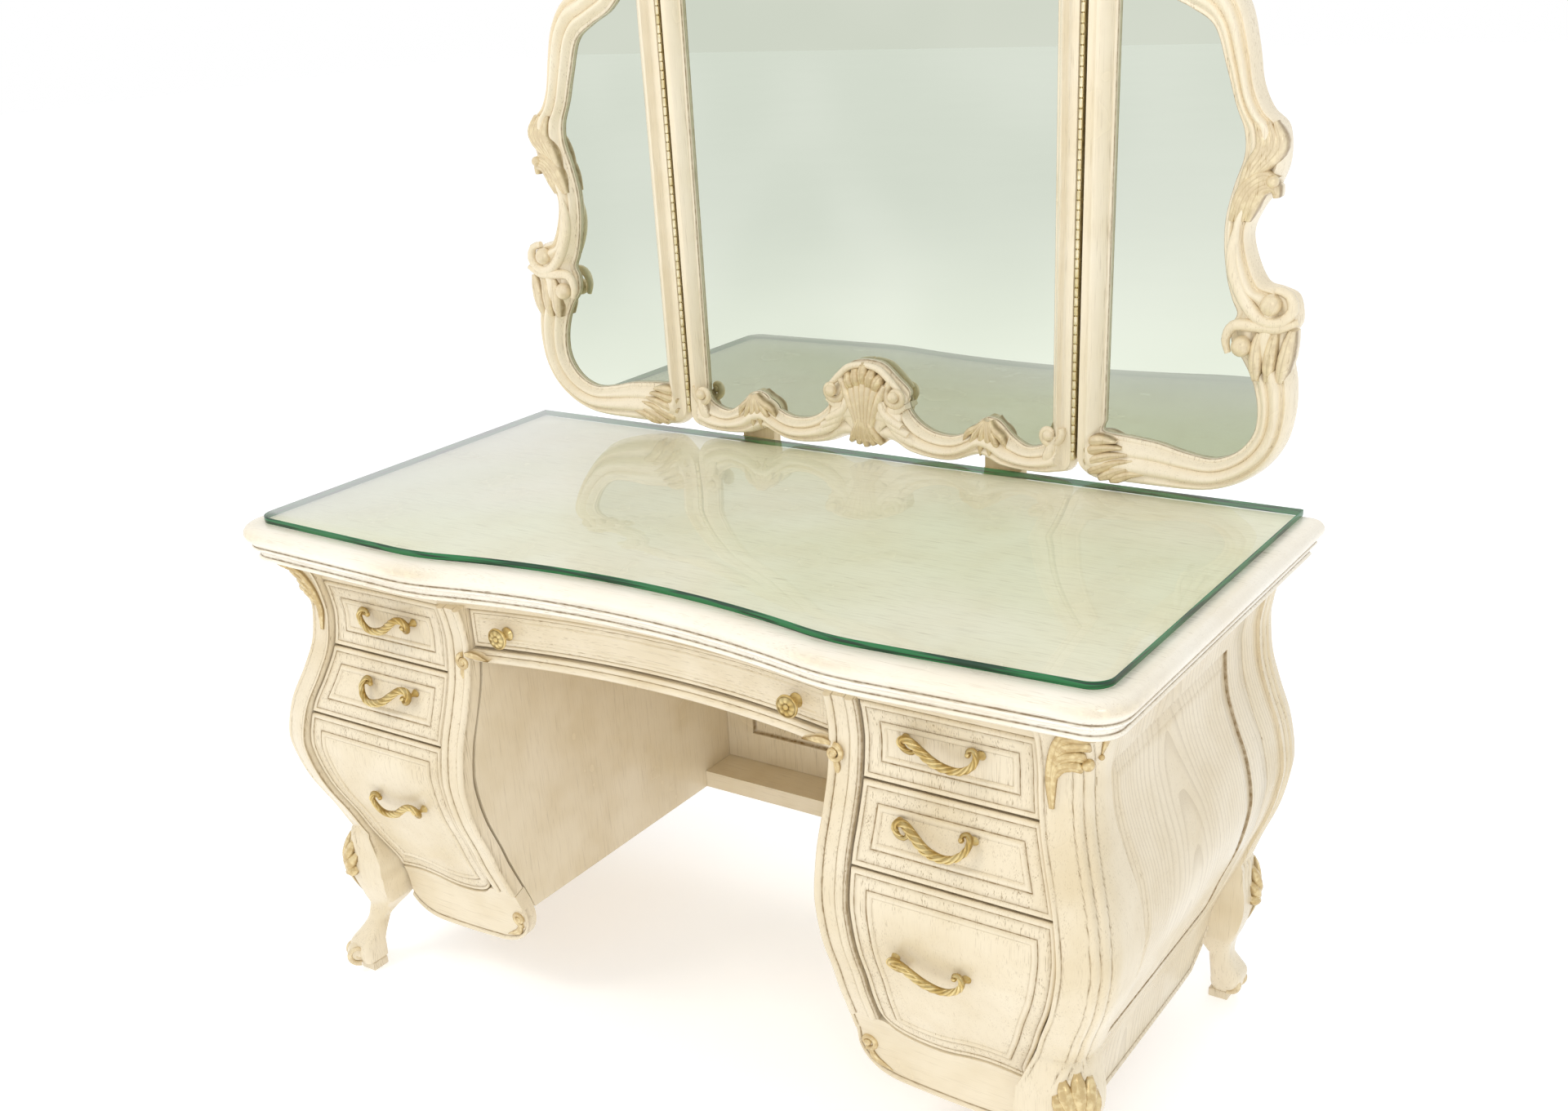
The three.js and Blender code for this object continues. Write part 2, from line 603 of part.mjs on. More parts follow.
// ---- Mirror ----------------------------------------------------------------------------------
// Half outline of the centre frame from the bottom middle to the crest, as [x, height].
const CENTRE_OUTER_LOW = [
  [0, 790], [36, 803], [76, 790], [118, 785], [150, 787], [190, 799], [225, 788], [268, 785],
  [310, 787],
];
const CENTRE_OUTER_HIGH = [
  [318, 1634], [285, 1652], [246, 1656], [206, 1676], [160, 1724], [108, 1752], [66, 1790],
  [36, 1822], [0, 1836],
];
const CENTRE_SIGHT_LOW = [
  [0, 925], [26, 921], [50, 902], [71, 882], [66, 863], [80, 842], [108, 826], [144, 823], [175, 836],
  [194, 855], [218, 855], [243, 833], [268, 821], [296, 830], [306, 846],
];
const CENTRE_SIGHT_HIGH = [
  [300, 1578], [282, 1596], [240, 1602], [196, 1622], [150, 1664], [112, 1690], [84, 1694],
  [70, 1712], [40, 1722], [0, 1708],
];

const WING_OUTER = [
  [352, 797], [372, 786], [410, 785], [508, 787], [552, 793], [588, 808], [620, 834], [640, 868], [648, 908],
  [647, 946], [640, 980], [641, 1010], [648, 1028], [641, 1058], [620, 1068], [600, 1074], [584, 1102],
  [576, 1134], [586, 1162], [606, 1192], [616, 1224], [611, 1262], [590, 1282], [575, 1312], [567, 1352],
  [553, 1400], [526, 1436], [486, 1452], [446, 1476], [420, 1516], [402, 1562], [376, 1596], [352, 1606],
];
const WING_SIGHT = [
  [384, 856], [424, 852], [464, 848], [504, 839], [544, 835], [577, 849], [597, 876], [600, 908], [592, 942],
  [576, 972], [560, 992], [558, 1016], [564, 1032], [556, 1050], [547, 1078], [541, 1116], [541, 1152],
  [549, 1190], [560, 1226], [558, 1256], [545, 1286], [530, 1330], [512, 1376], [480, 1398],
  [440, 1418], [408, 1452], [386, 1500],
];

function smooth(points, count) {
  const curve = new THREE.SplineCurve(points.map(point));
  return curve.getPoints(count).map((p) => [p.x, p.y]);
}

// Moves every edge of a closed outline outward by the same distance.
function offsetOutline(outline, distance) {
  const area = outline.reduce((sum, [x, y], i) => {
    const [nextX, nextY] = outline[(i + 1) % outline.length];
    return sum + x * nextY - nextX * y;
  }, 0);
  const corners = outline.map(point);
  const normals = corners.map((corner, i) => {
    const along = corners[(i + 1) % corners.length].clone().sub(corner).normalize();
    return new THREE.Vector2(along.y, -along.x).multiplyScalar(Math.sign(area));
  });
  return corners.map((corner, i) => {
    const before = normals[(i + normals.length - 1) % normals.length];
    const mitre = before.clone().add(normals[i]);
    const moved = corner.clone().addScaledVector(mitre, distance / (1 + before.dot(normals[i])));
    return [moved.x, moved.y];
  });
}

// Both halves of an outline that is given from its bottom middle to its top middle.
const mirrored = (half) => [...half, ...half.slice(1, -1).reverse().map(([x, y]) => [-x, y])];

// Frame with a rebate behind, its glass and its backing board, from an outline and a sight line.
function mirrorPanel(label, outline, sight, reliefBounds) {
  const opening = offsetOutline(sight, REBATE);
  const rebate = solidOf(runForward(shapeOf(opening), FRAME_BACK - 10, MIRROR_GLASS_FRONT + GAP));
  const window = solidOf(runForward(shapeOf(sight), FRAME_BACK - 10, FRAME_FRONT + 10));
  const relief = solidOf(box(reliefBounds, [HINGE_DEPTH - 2, FRAME_FRONT + 10], [700, 2000]));
  const body = solidOf(runForward(shapeOf(outline), FRAME_BACK, FRAME_FRONT));
  const flat = solidOf(runForward(shapeOf(outline), FRAME_BACK, HINGE_DEPTH - 1));
  const frame = body.intersect(relief).add(flat).subtract(rebate).subtract(window);
  const pane = shapeOf(offsetOutline(sight, REBATE - 1));
  const paneBack = MIRROR_GLASS_FRONT - MIRROR_GLASS_THICKNESS;
  return [
    piece(`mirror_${label}_frame`, frame, CREAM),
    piece(`mirror_${label}_glass`, runForward(pane, paneBack, MIRROR_GLASS_FRONT), MIRROR),
    piece(`mirror_${label}_back`, runForward(pane, FRAME_BACK + 1, paneBack - GAP), BACKING),
  ];
}

function centreMirror() {
  const edge = HINGE_X - HINGE_SEAM;
  const outer = [
    ...smooth(CENTRE_OUTER_LOW, 16), [edge, 800], [edge, 1616], ...smooth(CENTRE_OUTER_HIGH, 14),
  ];
  const sight = [...smooth(CENTRE_SIGHT_LOW, 24), ...smooth(CENTRE_SIGHT_HIGH, 14)];
  const bounds = [-HINGE_X + STILE_STEP, HINGE_X - STILE_STEP];
  return mirrorPanel("centre", mirrored(outer), mirrored(sight), bounds);
}

function wingMirror(suffix) {
  const edge = HINGE_X + HINGE_SEAM;
  const outline = [[edge, 802], ...smooth(WING_OUTER, 48), [edge, 1604]];
  const bounds = [HINGE_X + STILE_STEP, 2 * HINGE_X];
  return mirrorPanel(suffix, outline, smooth(WING_SIGHT, 36), bounds);
}

const HINGE = { bore: 1.3, barrel: 2.1, slot: 2.7, pin: 0.9, plate: 1.2 };

// One leaf of a long hinge: a plate on the stile edge and every second knuckle.
function hingeLeaf(name, first, plateX) {
  const pitch = (HINGE_TOP - HINGE_BOTTOM) / KNUCKLES;
  const { bore: inside, barrel: outside, slot: clear } = HINGE;
  const plate = box(plateX, [FRAME_BACK + 3, HINGE_DEPTH + 1], [HINGE_BOTTOM, HINGE_TOP]);
  const low = [[inside, 0], [outside, 0]];
  const high = [[outside, pitch - GAP], [inside, pitch - GAP]];
  const barrel = [...low, ...high, [inside, 0]];
  const ring = new THREE.LatheGeometry(barrel.map(point), 6).rotateX(Math.PI / 2);
  const slot = new THREE.CylinderGeometry(clear, clear, pitch + GAP, 6).rotateX(Math.PI / 2);
  let leaf = solidOf(plate);
  for (let i = 1 - first; i < KNUCKLES; i += 2) {
    const middle = HINGE_BOTTOM + (i + 0.5) * pitch;
    leaf = leaf.subtract(solidOf(slot.clone().translate(HINGE_X, -HINGE_DEPTH, middle)));
  }
  for (let i = first; i < KNUCKLES; i += 2) {
    const base = HINGE_BOTTOM + i * pitch + GAP / 2;
    leaf = leaf.add(solidOf(ring.clone().translate(HINGE_X, -HINGE_DEPTH, base)));
  }
  return piece(name, leaf.subtract(solidOf(hingeRod(inside, 5))), BRASS);
}

// Rod on the hinge line, run past both ends of the hinge by the same distance.
function hingeRod(radius, past) {
  const rod = new THREE.CylinderGeometry(radius, radius, HINGE_TOP - HINGE_BOTTOM + 2 * past, 6);
  return rod.rotateX(Math.PI / 2).translate(HINGE_X, -HINGE_DEPTH, (HINGE_TOP + HINGE_BOTTOM) / 2);
}

function hinge(suffix) {
  const seam = HINGE_SEAM - GAP;
  const fixed = [HINGE_X - seam, HINGE_X - seam + HINGE.plate];
  const moving = [HINGE_X + seam - HINGE.plate, HINGE_X + seam];
  return [
    hingeLeaf(`hinge_fixed_leaf_${suffix}`, 0, fixed),
    hingeLeaf(`hinge_moving_leaf_${suffix}`, 1, moving),
    piece(`hinge_pin_${suffix}`, hingeRod(HINGE.pin, 0), BRASS),
  ];
}

// Two uprights and a cross rail behind the centre mirror, screwed to the back of the desk.
function supportFrame() {
  const behindMirror = [-SUPPORT_BACK, FRAME_BACK - GAP];
  const behindDesk = [-SUPPORT_BACK, -GAP];
  const upright = (x) => {
    const post = solidOf(box([x - 30, x + 30], behindMirror, [420, 1500]));
    return post.add(solidOf(box([x - 30, x + 30], behindDesk, [420, DESK_HEIGHT - 2])));
  };
  const rail = solidOf(box([-SUPPORT_X, SUPPORT_X], behindMirror, [1150, 1210]));
  const frame = upright(-SUPPORT_X).add(upright(SUPPORT_X)).add(rail);
  return piece("mirror_support_frame", frame, BACKING);
}

// ---- Assembly --------------------------------------------------------------------------------
const right = pedestal("right");
right.add(...wingMirror("right"), ...hinge("right"));
const left = pedestal("left");
left.add(...wingMirror("left"), ...hinge("left"));
left.scale.x = -1;

const table = new THREE.Group();
table.add(...topPieces(), friezeRail(), ...kneeholePieces(), ...centreDrawer());
table.add(...centreMirror(), supportFrame(), right, left);

const frontmost = GLASS_SHOULDER_DEPTH + TOP_OVERHANG;
table.position.y = (frontmost - SUPPORT_BACK) / 2;

const vanity = new THREE.Group();
vanity.add(table);

export default vanity;
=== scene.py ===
"""Looks of a swelling twin-pedestal vanity table with a folding carved mirror.

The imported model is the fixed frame. Each sub-assembly is a class that shapes its own pieces in
millimetres and dresses them in an antique cream paint, rubbed gilding, cast brass, wood and glass.
"""

import json
import logging
import math
from dataclasses import dataclass, field
from enum import Enum
from functools import partial
from typing import Any, Callable, Sequence

import bpy
import numpy as np
from mathutils import Matrix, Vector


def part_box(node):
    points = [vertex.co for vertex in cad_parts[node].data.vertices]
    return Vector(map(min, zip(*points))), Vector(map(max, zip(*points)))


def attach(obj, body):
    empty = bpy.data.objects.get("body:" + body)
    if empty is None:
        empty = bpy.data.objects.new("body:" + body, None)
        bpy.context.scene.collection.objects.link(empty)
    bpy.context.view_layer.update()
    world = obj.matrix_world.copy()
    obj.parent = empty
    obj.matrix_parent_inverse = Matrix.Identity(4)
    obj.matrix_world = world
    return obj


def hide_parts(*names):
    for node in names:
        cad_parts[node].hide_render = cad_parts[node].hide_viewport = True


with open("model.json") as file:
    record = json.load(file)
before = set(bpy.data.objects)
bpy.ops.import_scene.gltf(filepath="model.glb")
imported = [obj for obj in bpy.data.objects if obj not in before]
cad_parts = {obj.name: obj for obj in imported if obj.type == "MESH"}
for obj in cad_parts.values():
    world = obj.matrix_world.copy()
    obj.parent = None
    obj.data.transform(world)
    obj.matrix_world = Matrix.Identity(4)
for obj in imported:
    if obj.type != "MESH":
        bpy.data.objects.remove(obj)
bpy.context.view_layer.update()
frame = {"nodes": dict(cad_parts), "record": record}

LOG = logging.getLogger("vanity_table")
MM = 0.001
GLASS_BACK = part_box("glass_top")[1].y

Points = Sequence[Sequence[float]]
LineOf = Callable[[np.ndarray], np.ndarray]

# ---- Shape of the real piece, in millimetres --------------------------------------------------
# Outward stand-off of the carcass from its waist at each height, from the top down.
SWELL: Points = [
    (28, 716), (15, 700), (6.4, 676), (1.5, 650), (0, 627), (6, 579), (21, 533), (38.6, 487),
    (48.7, 435), (46.7, 399), (35.7, 350), (15.7, 298), (2.7, 260), (-22, 200), (-36, 156),
    (-44, 60),
]
WAIST = 627.0
KNEE = 250.0
SIDE = 645.3
FRONT_POST = 616.0
FRONT_DRAWER = 607.0
FRONT_STILE = 612.0
POST_INNER = 582.0
STILE_INNER, STILE_OUTER = 300.0, 346.0
TOP_UNDERSIDE = 716.0
BOW_HALF, BOW_RISE = 330.0, 42.0
PAINT = "antique_cream_paint"
# Outer line of a leg below the knee: stand-off from the waist line and height.
LEG_OUTER: Points = [
    (2.7, 250), (5, 222), (9, 196), (8, 165), (-1, 130), (-10, 105), (-11, 82), (-3, 64),
    (6, 48), (4, 30), (-6, 14),
]


def place(x: Any, depth: Any, height: Any) -> np.ndarray:
    """Puts a place given in millimetres and depth forward of the glass back into the frame.

    Args:
        x: Distance to the right of the middle.
        depth: Distance forward of the back edge of the glass.
        height: Height over the floor.

    Returns:
        Coordinates in metres, in the last axis.
    """
    x, depth, height = np.broadcast_arrays(x, depth, height)
    return np.stack([x * MM, GLASS_BACK - depth * MM, height * MM], axis=-1)


def catmull(points: Points, per_span: int) -> np.ndarray:
    """Draws a uniform Catmull-Rom line through points.

    Args:
        points: Points of any dimension.
        per_span: Steps between two neighbours.

    Returns:
        The line's points, both ends included.
    """
    p = np.asarray(points, float)
    p = np.vstack([p[0], p, p[-1]])
    t = np.linspace(0, 1, per_span, endpoint=False)[:, None]
    spans = []
    for a, b, c, d in zip(p[:-3], p[1:-2], p[2:-1], p[3:]):
        m0, m1 = (c - a) / 2, (d - b) / 2
        spans.append((2 * b - 2 * c + m0 + m1) * t**3 + (-3 * b + 3 * c - 2 * m0 - m1) * t**2 + m0 * t + b)
    return np.vstack([*spans, p[-2:-1]])


def resample(line: np.ndarray, count: int, closed: bool = False) -> np.ndarray:
    """Spaces points evenly along a line.

    Args:
        line: Points of the line.
        count: Points to return.
        closed: Whether the line returns to its start.

    Returns:
        Evenly spaced points; a closed line's last point is not its first.
    """
    if closed:
        line = np.vstack([line, line[:1]])
    run = np.concatenate([[0], np.cumsum(np.linalg.norm(np.diff(line, axis=0), axis=1))])
    at = np.linspace(0, run[-1], count, endpoint=not closed)
    return np.stack([np.interp(at, run, line[:, k]) for k in range(line.shape[1])], axis=1)


SWELL_LINE = catmull(SWELL, 15)[::-1]
LEG_LINE = catmull(LEG_OUTER, 8)[::-1]


def swell(height: Any) -> np.ndarray:
    """Gives the carcass's outward stand-off at a height."""
    return np.interp(height, SWELL_LINE[:, 1], SWELL_LINE[:, 0])


def leg_swell(height: Any) -> np.ndarray:
    """Gives a leg's outward stand-off at a height, foot included."""
    height = np.asarray(height, float)
    low = np.interp(height, LEG_LINE[:, 1], LEG_LINE[:, 0])
    return np.where(height > KNEE, swell(height), low)


def post_inner(height: Any) -> np.ndarray:
    """Gives the distance from the middle of the edge where drawers meet a front post."""
    height = np.asarray(height, float)
    return POST_INNER + np.where(height > WAIST, 0, np.maximum(swell(height), -20))


def bow_rise(x: Any) -> np.ndarray:
    """Gives how far the bowed front falls back at a distance from the middle."""
    radius = (BOW_HALF**2 + BOW_RISE**2) / (2 * BOW_RISE)
    inside = np.minimum(np.abs(np.asarray(x, float)), BOW_HALF)
    return BOW_RISE - radius + np.sqrt(radius**2 - inside**2)


def on_y(height: Any) -> np.ndarray:
    """Gives the slope of the swell, in stand-off per height."""
    height = np.asarray(height, float)
    return (swell(height + 1.5) - swell(height - 1.5)) / 3.0


def ease(value: Any) -> np.ndarray:
    """Turns a share from 0 to 1 into a smooth step."""
    value = np.clip(value, 0, 1)
    return value * value * (3 - 2 * value)


# ---- Modelling ---------------------------------------------------------------------------------
def clear_selection() -> None:
    """Leaves nothing selected, in object mode."""
    if bpy.context.object and bpy.context.object.mode != "OBJECT":
        bpy.ops.object.mode_set(mode="OBJECT")
    bpy.ops.object.select_all(action="DESELECT")


def named(name: str) -> bpy.types.Object:
    """Names the active object and its mesh, and returns it."""
    made = bpy.context.active_object
    made.name = name
    made.data.name = name
    return made


def select_only(made: bpy.types.Object) -> None:
    """Leaves one piece selected and active."""
    clear_selection()
    made.select_set(True)
    bpy.context.view_layer.objects.active = made


def spot(at: np.ndarray) -> tuple[float, ...]:
    """Turns a place into an operator's location."""
    return tuple(float(c) for c in at)


def applied(name: str) -> bpy.types.Object:
    """Writes the active object's place and scale into its mesh, and names it."""
    bpy.ops.object.transform_apply(location=True, rotation=True, scale=True)
    return named(name)


def in_edit(*steps: Callable[[], Any]) -> None:
    """Runs steps in edit mode on the active object, with all of it selected."""
    bpy.ops.object.mode_set(mode="EDIT")
    bpy.ops.mesh.select_all(action="SELECT")
    for step in steps:
        step()
    bpy.ops.object.mode_set(mode="OBJECT")


def finish_modifier(made: bpy.types.Object, kind: str, **settings: Any) -> None:
    """Adds a modifier with settings and applies it."""
    modifier = made.modifiers.new(kind.lower(), kind)
    for key, value in settings.items():
        setattr(modifier, key, value)
    bpy.context.view_layer.objects.active = made
    bpy.ops.object.modifier_apply(modifier=modifier.name)


def smooth(made: bpy.types.Object, degrees: float = 40.0) -> bpy.types.Object:
    """Shades a piece smooth except over edges sharper than an angle."""
    select_only(made)
    bpy.ops.object.shade_smooth_by_angle(angle=math.radians(degrees))
    return made


def recalculate() -> None:
    """Points the selected faces outwards."""
    bpy.ops.mesh.normals_make_consistent(inside=False)


def unit(vectors: np.ndarray) -> np.ndarray:
    """Scales each vector to length one."""
    return vectors / np.maximum(np.linalg.norm(vectors, axis=1), 1e-12)[:, None]


def write_attribute(made: bpy.types.Object, name: str, values: np.ndarray) -> None:
    """Keeps a number per vertex as an attribute for the material."""
    kept = made.data.attributes.new(name, "FLOAT", "POINT")
    kept.data.foreach_set("value", np.clip(values, 0, 1).astype(np.float32).ravel())


@dataclass
class Sheet:
    """A grid of points with the glaze and gilding that each takes."""

    points: np.ndarray
    glaze: np.ndarray | float = 0.0
    gild: np.ndarray | float = 0.0

    def tone(self, which: str) -> np.ndarray:
        """Returns the glaze or gilding as a full grid."""
        return np.broadcast_to(getattr(self, which), self.points.shape[:2]).astype(float)


def lattice(name: str, rows: int, columns: int, deep: bool) -> tuple[bpy.types.Object, np.ndarray]:
    """Adds a grid primitive, extruded into a board if it is deep, to be moved to its shape.

    Args:
        name: Name of the piece.
        rows: Points along the first axis.
        columns: Points along the second axis.
        deep: Whether it is extruded.

    Returns:
        The object and each vertex's row, column and layer.
    """
    clear_selection()
    bpy.ops.mesh.primitive_grid_add(x_subdivisions=rows - 1, y_subdivisions=columns - 1, size=2)
    made = named(name)
    if deep:
        lift = {"value": (0, 0, 1)}
        in_edit(lambda: bpy.ops.mesh.extrude_region_move(TRANSFORM_OT_translate=lift))
    co = np.zeros(len(made.data.vertices) * 3)
    made.data.vertices.foreach_get("co", co)
    co = co.reshape(-1, 3)
    index = np.stack([(co[:, 0] + 1) / 2 * (rows - 1), (co[:, 1] + 1) / 2 * (columns - 1), co[:, 2]], 1)
    return made, np.rint(index).astype(int)


def settle(made: bpy.types.Object, points: np.ndarray, *steps: Callable[[], Any]) -> bpy.types.Object:
    """Moves every vertex to its place, then tidies the mesh with edit steps."""
    made.data.vertices.foreach_set("co", points.astype(np.float32).ravel())
    made.data.update()
    bpy.context.view_layer.objects.active = made
    in_edit(*steps, recalculate)
    return made


def board(name: str, front: Sheet, back: np.ndarray, degrees: float = 40.0) -> bpy.types.Object:
    """Makes a closed board from a front sheet and a matching grid of back points."""
    rows, columns = front.points.shape[:2]
    made, index = lattice(name, rows, columns, deep=True)
    i, j, layer = index.T
    for which in ("glaze", "gild"):
        write_attribute(made, which, front.tone(which)[i, j] * (1 - layer))
    points = np.where(layer[:, None] == 0, front.points[i, j], back[i, j])
    return smooth(settle(made, points), degrees)


def sweep(
    name: str, rings: Sheet, closed: bool = False, degrees: float = 40.0
) -> bpy.types.Object:
    """Makes a solid from rings of a closed profile that follow each other along a path.

    Args:
        name: Name of the piece.
        rings: Grid of path steps by profile points, without a repeated point.
        closed: Whether the path returns to its start.
        degrees: Edges sharper than this stay sharp.

    Returns:
        The closed piece.
    """
    grids = {}
    for key in ("points", "glaze", "gild"):
        grid = rings.points if key == "points" else rings.tone(key)
        grid = np.concatenate([grid, grid[:, :1]], axis=1)
        grids[key] = np.concatenate([grid, grid[:1]], axis=0) if closed else grid
    rows, columns = grids["points"].shape[:2]
    made, index = lattice(name, rows, columns, deep=False)
    i, j, _ = index.T
    for which in ("glaze", "gild"):
        write_attribute(made, which, grids[which][i, j])
    steps = [lambda: bpy.ops.mesh.remove_doubles(threshold=2e-6)]
    if not closed:
        steps.append(lambda: bpy.ops.mesh.select_all(action="SELECT"))
        steps.append(lambda: bpy.ops.mesh.fill_holes(sides=0))
        steps.append(lambda: bpy.ops.mesh.select_all(action="SELECT"))
    return smooth(settle(made, grids["points"][i, j], *steps), degrees)


def join(name: str, pieces: Sequence[bpy.types.Object]) -> bpy.types.Object:
    """Joins pieces that are carved from or glued to one another."""
    clear_selection()
    for one in pieces:
        one.select_set(True)
    bpy.context.view_layer.objects.active = pieces[0]
    bpy.ops.object.join()
    return named(name)


def mirrored_copy(made: bpy.types.Object, name: str) -> bpy.types.Object:
    """Copies a right-hand piece to the left, with its own mesh and its faces turned out."""
    select_only(made)
    bpy.ops.object.duplicate(linked=False)
    copy = named(name)
    copy.data.transform(Matrix.Diagonal((-1, 1, 1, 1)))
    copy.data.flip_normals()
    return copy


def rod(
    name: str, path: Points, radii: Any, sides: int = 12, tones: tuple = (0.0, 0.0),
) -> bpy.types.Object:
    """Makes a round bar of changing thickness along a path given in metres.

    Args:
        name: Name of the piece.
        path: Points of its middle line.
        radii: Radius in millimetres at each point, or one for all.
        sides: Points around it.
        tones: Glaze and gilding all over it.

    Returns:
        The closed piece.
    """
    path = np.asarray(path, float)
    radii = np.broadcast_to(radii, len(path)) * MM
    along = unit(np.gradient(path, axis=0))
    helper = np.array([0.0, 1.0, 0.0])
    if abs(along[0] @ helper) >= 0.9:
        helper = np.array([1.0, 0.0, 0.0])
    normal = helper - along[0] * (helper @ along[0])
    rings = []
    for centre, direction, radius in zip(path, along, radii):
        normal = normal - direction * (normal @ direction)
        normal /= np.linalg.norm(normal)
        across = np.cross(direction, normal)
        turn = np.linspace(0, 2 * math.pi, sides, endpoint=False)[:, None]
        rings.append(centre + radius * (np.cos(turn) * normal + np.sin(turn) * across))
    return sweep(name, Sheet(np.array(rings), *tones), degrees=60)


# ---- Finishes ----------------------------------------------------------------------------------
Adder = Callable[..., Any]
TIMES = {"operation": "MULTIPLY", "use_clamp": True}
TIMES_PLUS = {"operation": "MULTIPLY_ADD", "use_clamp": True}
LESS = {"operation": "SUBTRACT", "use_clamp": True}
MOST = {"operation": "MAXIMUM", "use_clamp": True}
COLOURS = {"data_type": "RGBA"}
SPREAD = {"interpolation_type": "SMOOTHSTEP"}
# Numbers of a colour mix's first input, second input and output.
FIRST, SECOND, MIXED = 6, 7, 2


def linear(code: str, alpha: float = 1.0) -> tuple[float, float, float, float]:
    """Turns an sRGB hex colour to linear."""
    parts = [int(code[k : k + 2], 16) / 255 for k in (0, 2, 4)]
    turned = [p / 12.92 if p <= 0.04045 else ((p + 0.055) / 1.055) ** 2.4 for p in parts]
    return (*turned, alpha)


def add_node(
    tree: bpy.types.NodeTree, kind: str, settings: dict[str, Any] | None = None,
    inputs: dict[Any, Any] | None = None, output: int | str = 0,
) -> Any:
    """Adds a node.

    Args:
        tree: Tree that it goes in.
        kind: Type of the node, without its ShaderNode prefix.
        settings: Properties of the node.
        inputs: What its inputs get, by name or number: a socket or a value.
        output: Name or number of the output to return.

    Returns:
        That output's socket, or None where the node has no output.
    """
    made = tree.nodes.new("ShaderNode" + kind)
    for key, value in (settings or {}).items():
        setattr(made, key, value)
    for key, value in (inputs or {}).items():
        if isinstance(value, bpy.types.NodeSocket):
            tree.links.new(value, made.inputs[key])
        else:
            made.inputs[key].default_value = value
    return made.outputs[output] if len(made.outputs) else None


class Grain(Enum):
    """Direction that the wood and the brush run in: how far a streak stretches along each axis."""

    UP = (1.0, 1.0, 0.03)
    ACROSS = (0.03, 1.0, 1.0)
    DEEP = (1.0, 0.03, 1.0)

    def stretched(self, width_mm: float) -> tuple[float, float, float]:
        """Gives the pattern's scale for streaks of that width."""
        return tuple(1.0 / (width_mm * MM) * share for share in self.value)


def even(width_mm: float) -> tuple[float, float, float]:
    """Gives the scale of a pattern that is that wide in every direction."""
    return (1000 / width_mm,) * 3


def new_material(name: str) -> tuple[bpy.types.Material, Adder, Any]:
    """Starts a material, and returns it, what adds its nodes, and its object coordinates."""
    made = bpy.data.materials.new(name)
    made.use_nodes = True
    made.node_tree.nodes.clear()
    add = partial(add_node, made.node_tree)
    return made, add, add("TexCoord", output="Object")


def add_streaks(add: Adder, place_of: Any, scale: tuple, detail: float = 2.0) -> Any:
    """Adds noise drawn out by a scale, and returns its value's socket."""
    spread = add("Mapping", inputs={"Vector": place_of, "Scale": scale})
    settings = {"Vector": spread, "Scale": 1.0, "Detail": detail, "Roughness": 0.55}
    return add("TexNoise", inputs=settings)


def add_clouded(
    add: Adder, pattern: Any, bounds: tuple[float, float], first: Any, second: Any, strength: float = 1.0
) -> Any:
    """Lets one colour drift into another where a pattern rises between two bounds.

    Args:
        add: What adds a node to the material.
        pattern: Socket of the pattern.
        bounds: Values of the pattern where the drift starts and ends.
        first: Colour below, as a socket, a linear colour or a hex code.
        second: Colour above, likewise.
        strength: How much of the second colour is reached.

    Returns:
        The colour's socket.
    """
    low, high = bounds
    share = add("MapRange", SPREAD, {"Value": pattern, "From Min": low, "From Max": high})
    if strength != 1.0:
        share = add("Math", TIMES, {0: share, 1: strength})
    first, second = (linear(colour) if isinstance(colour, str) else colour for colour in (first, second))
    return add("Mix", COLOURS, {0: share, FIRST: first, SECOND: second}, MIXED)


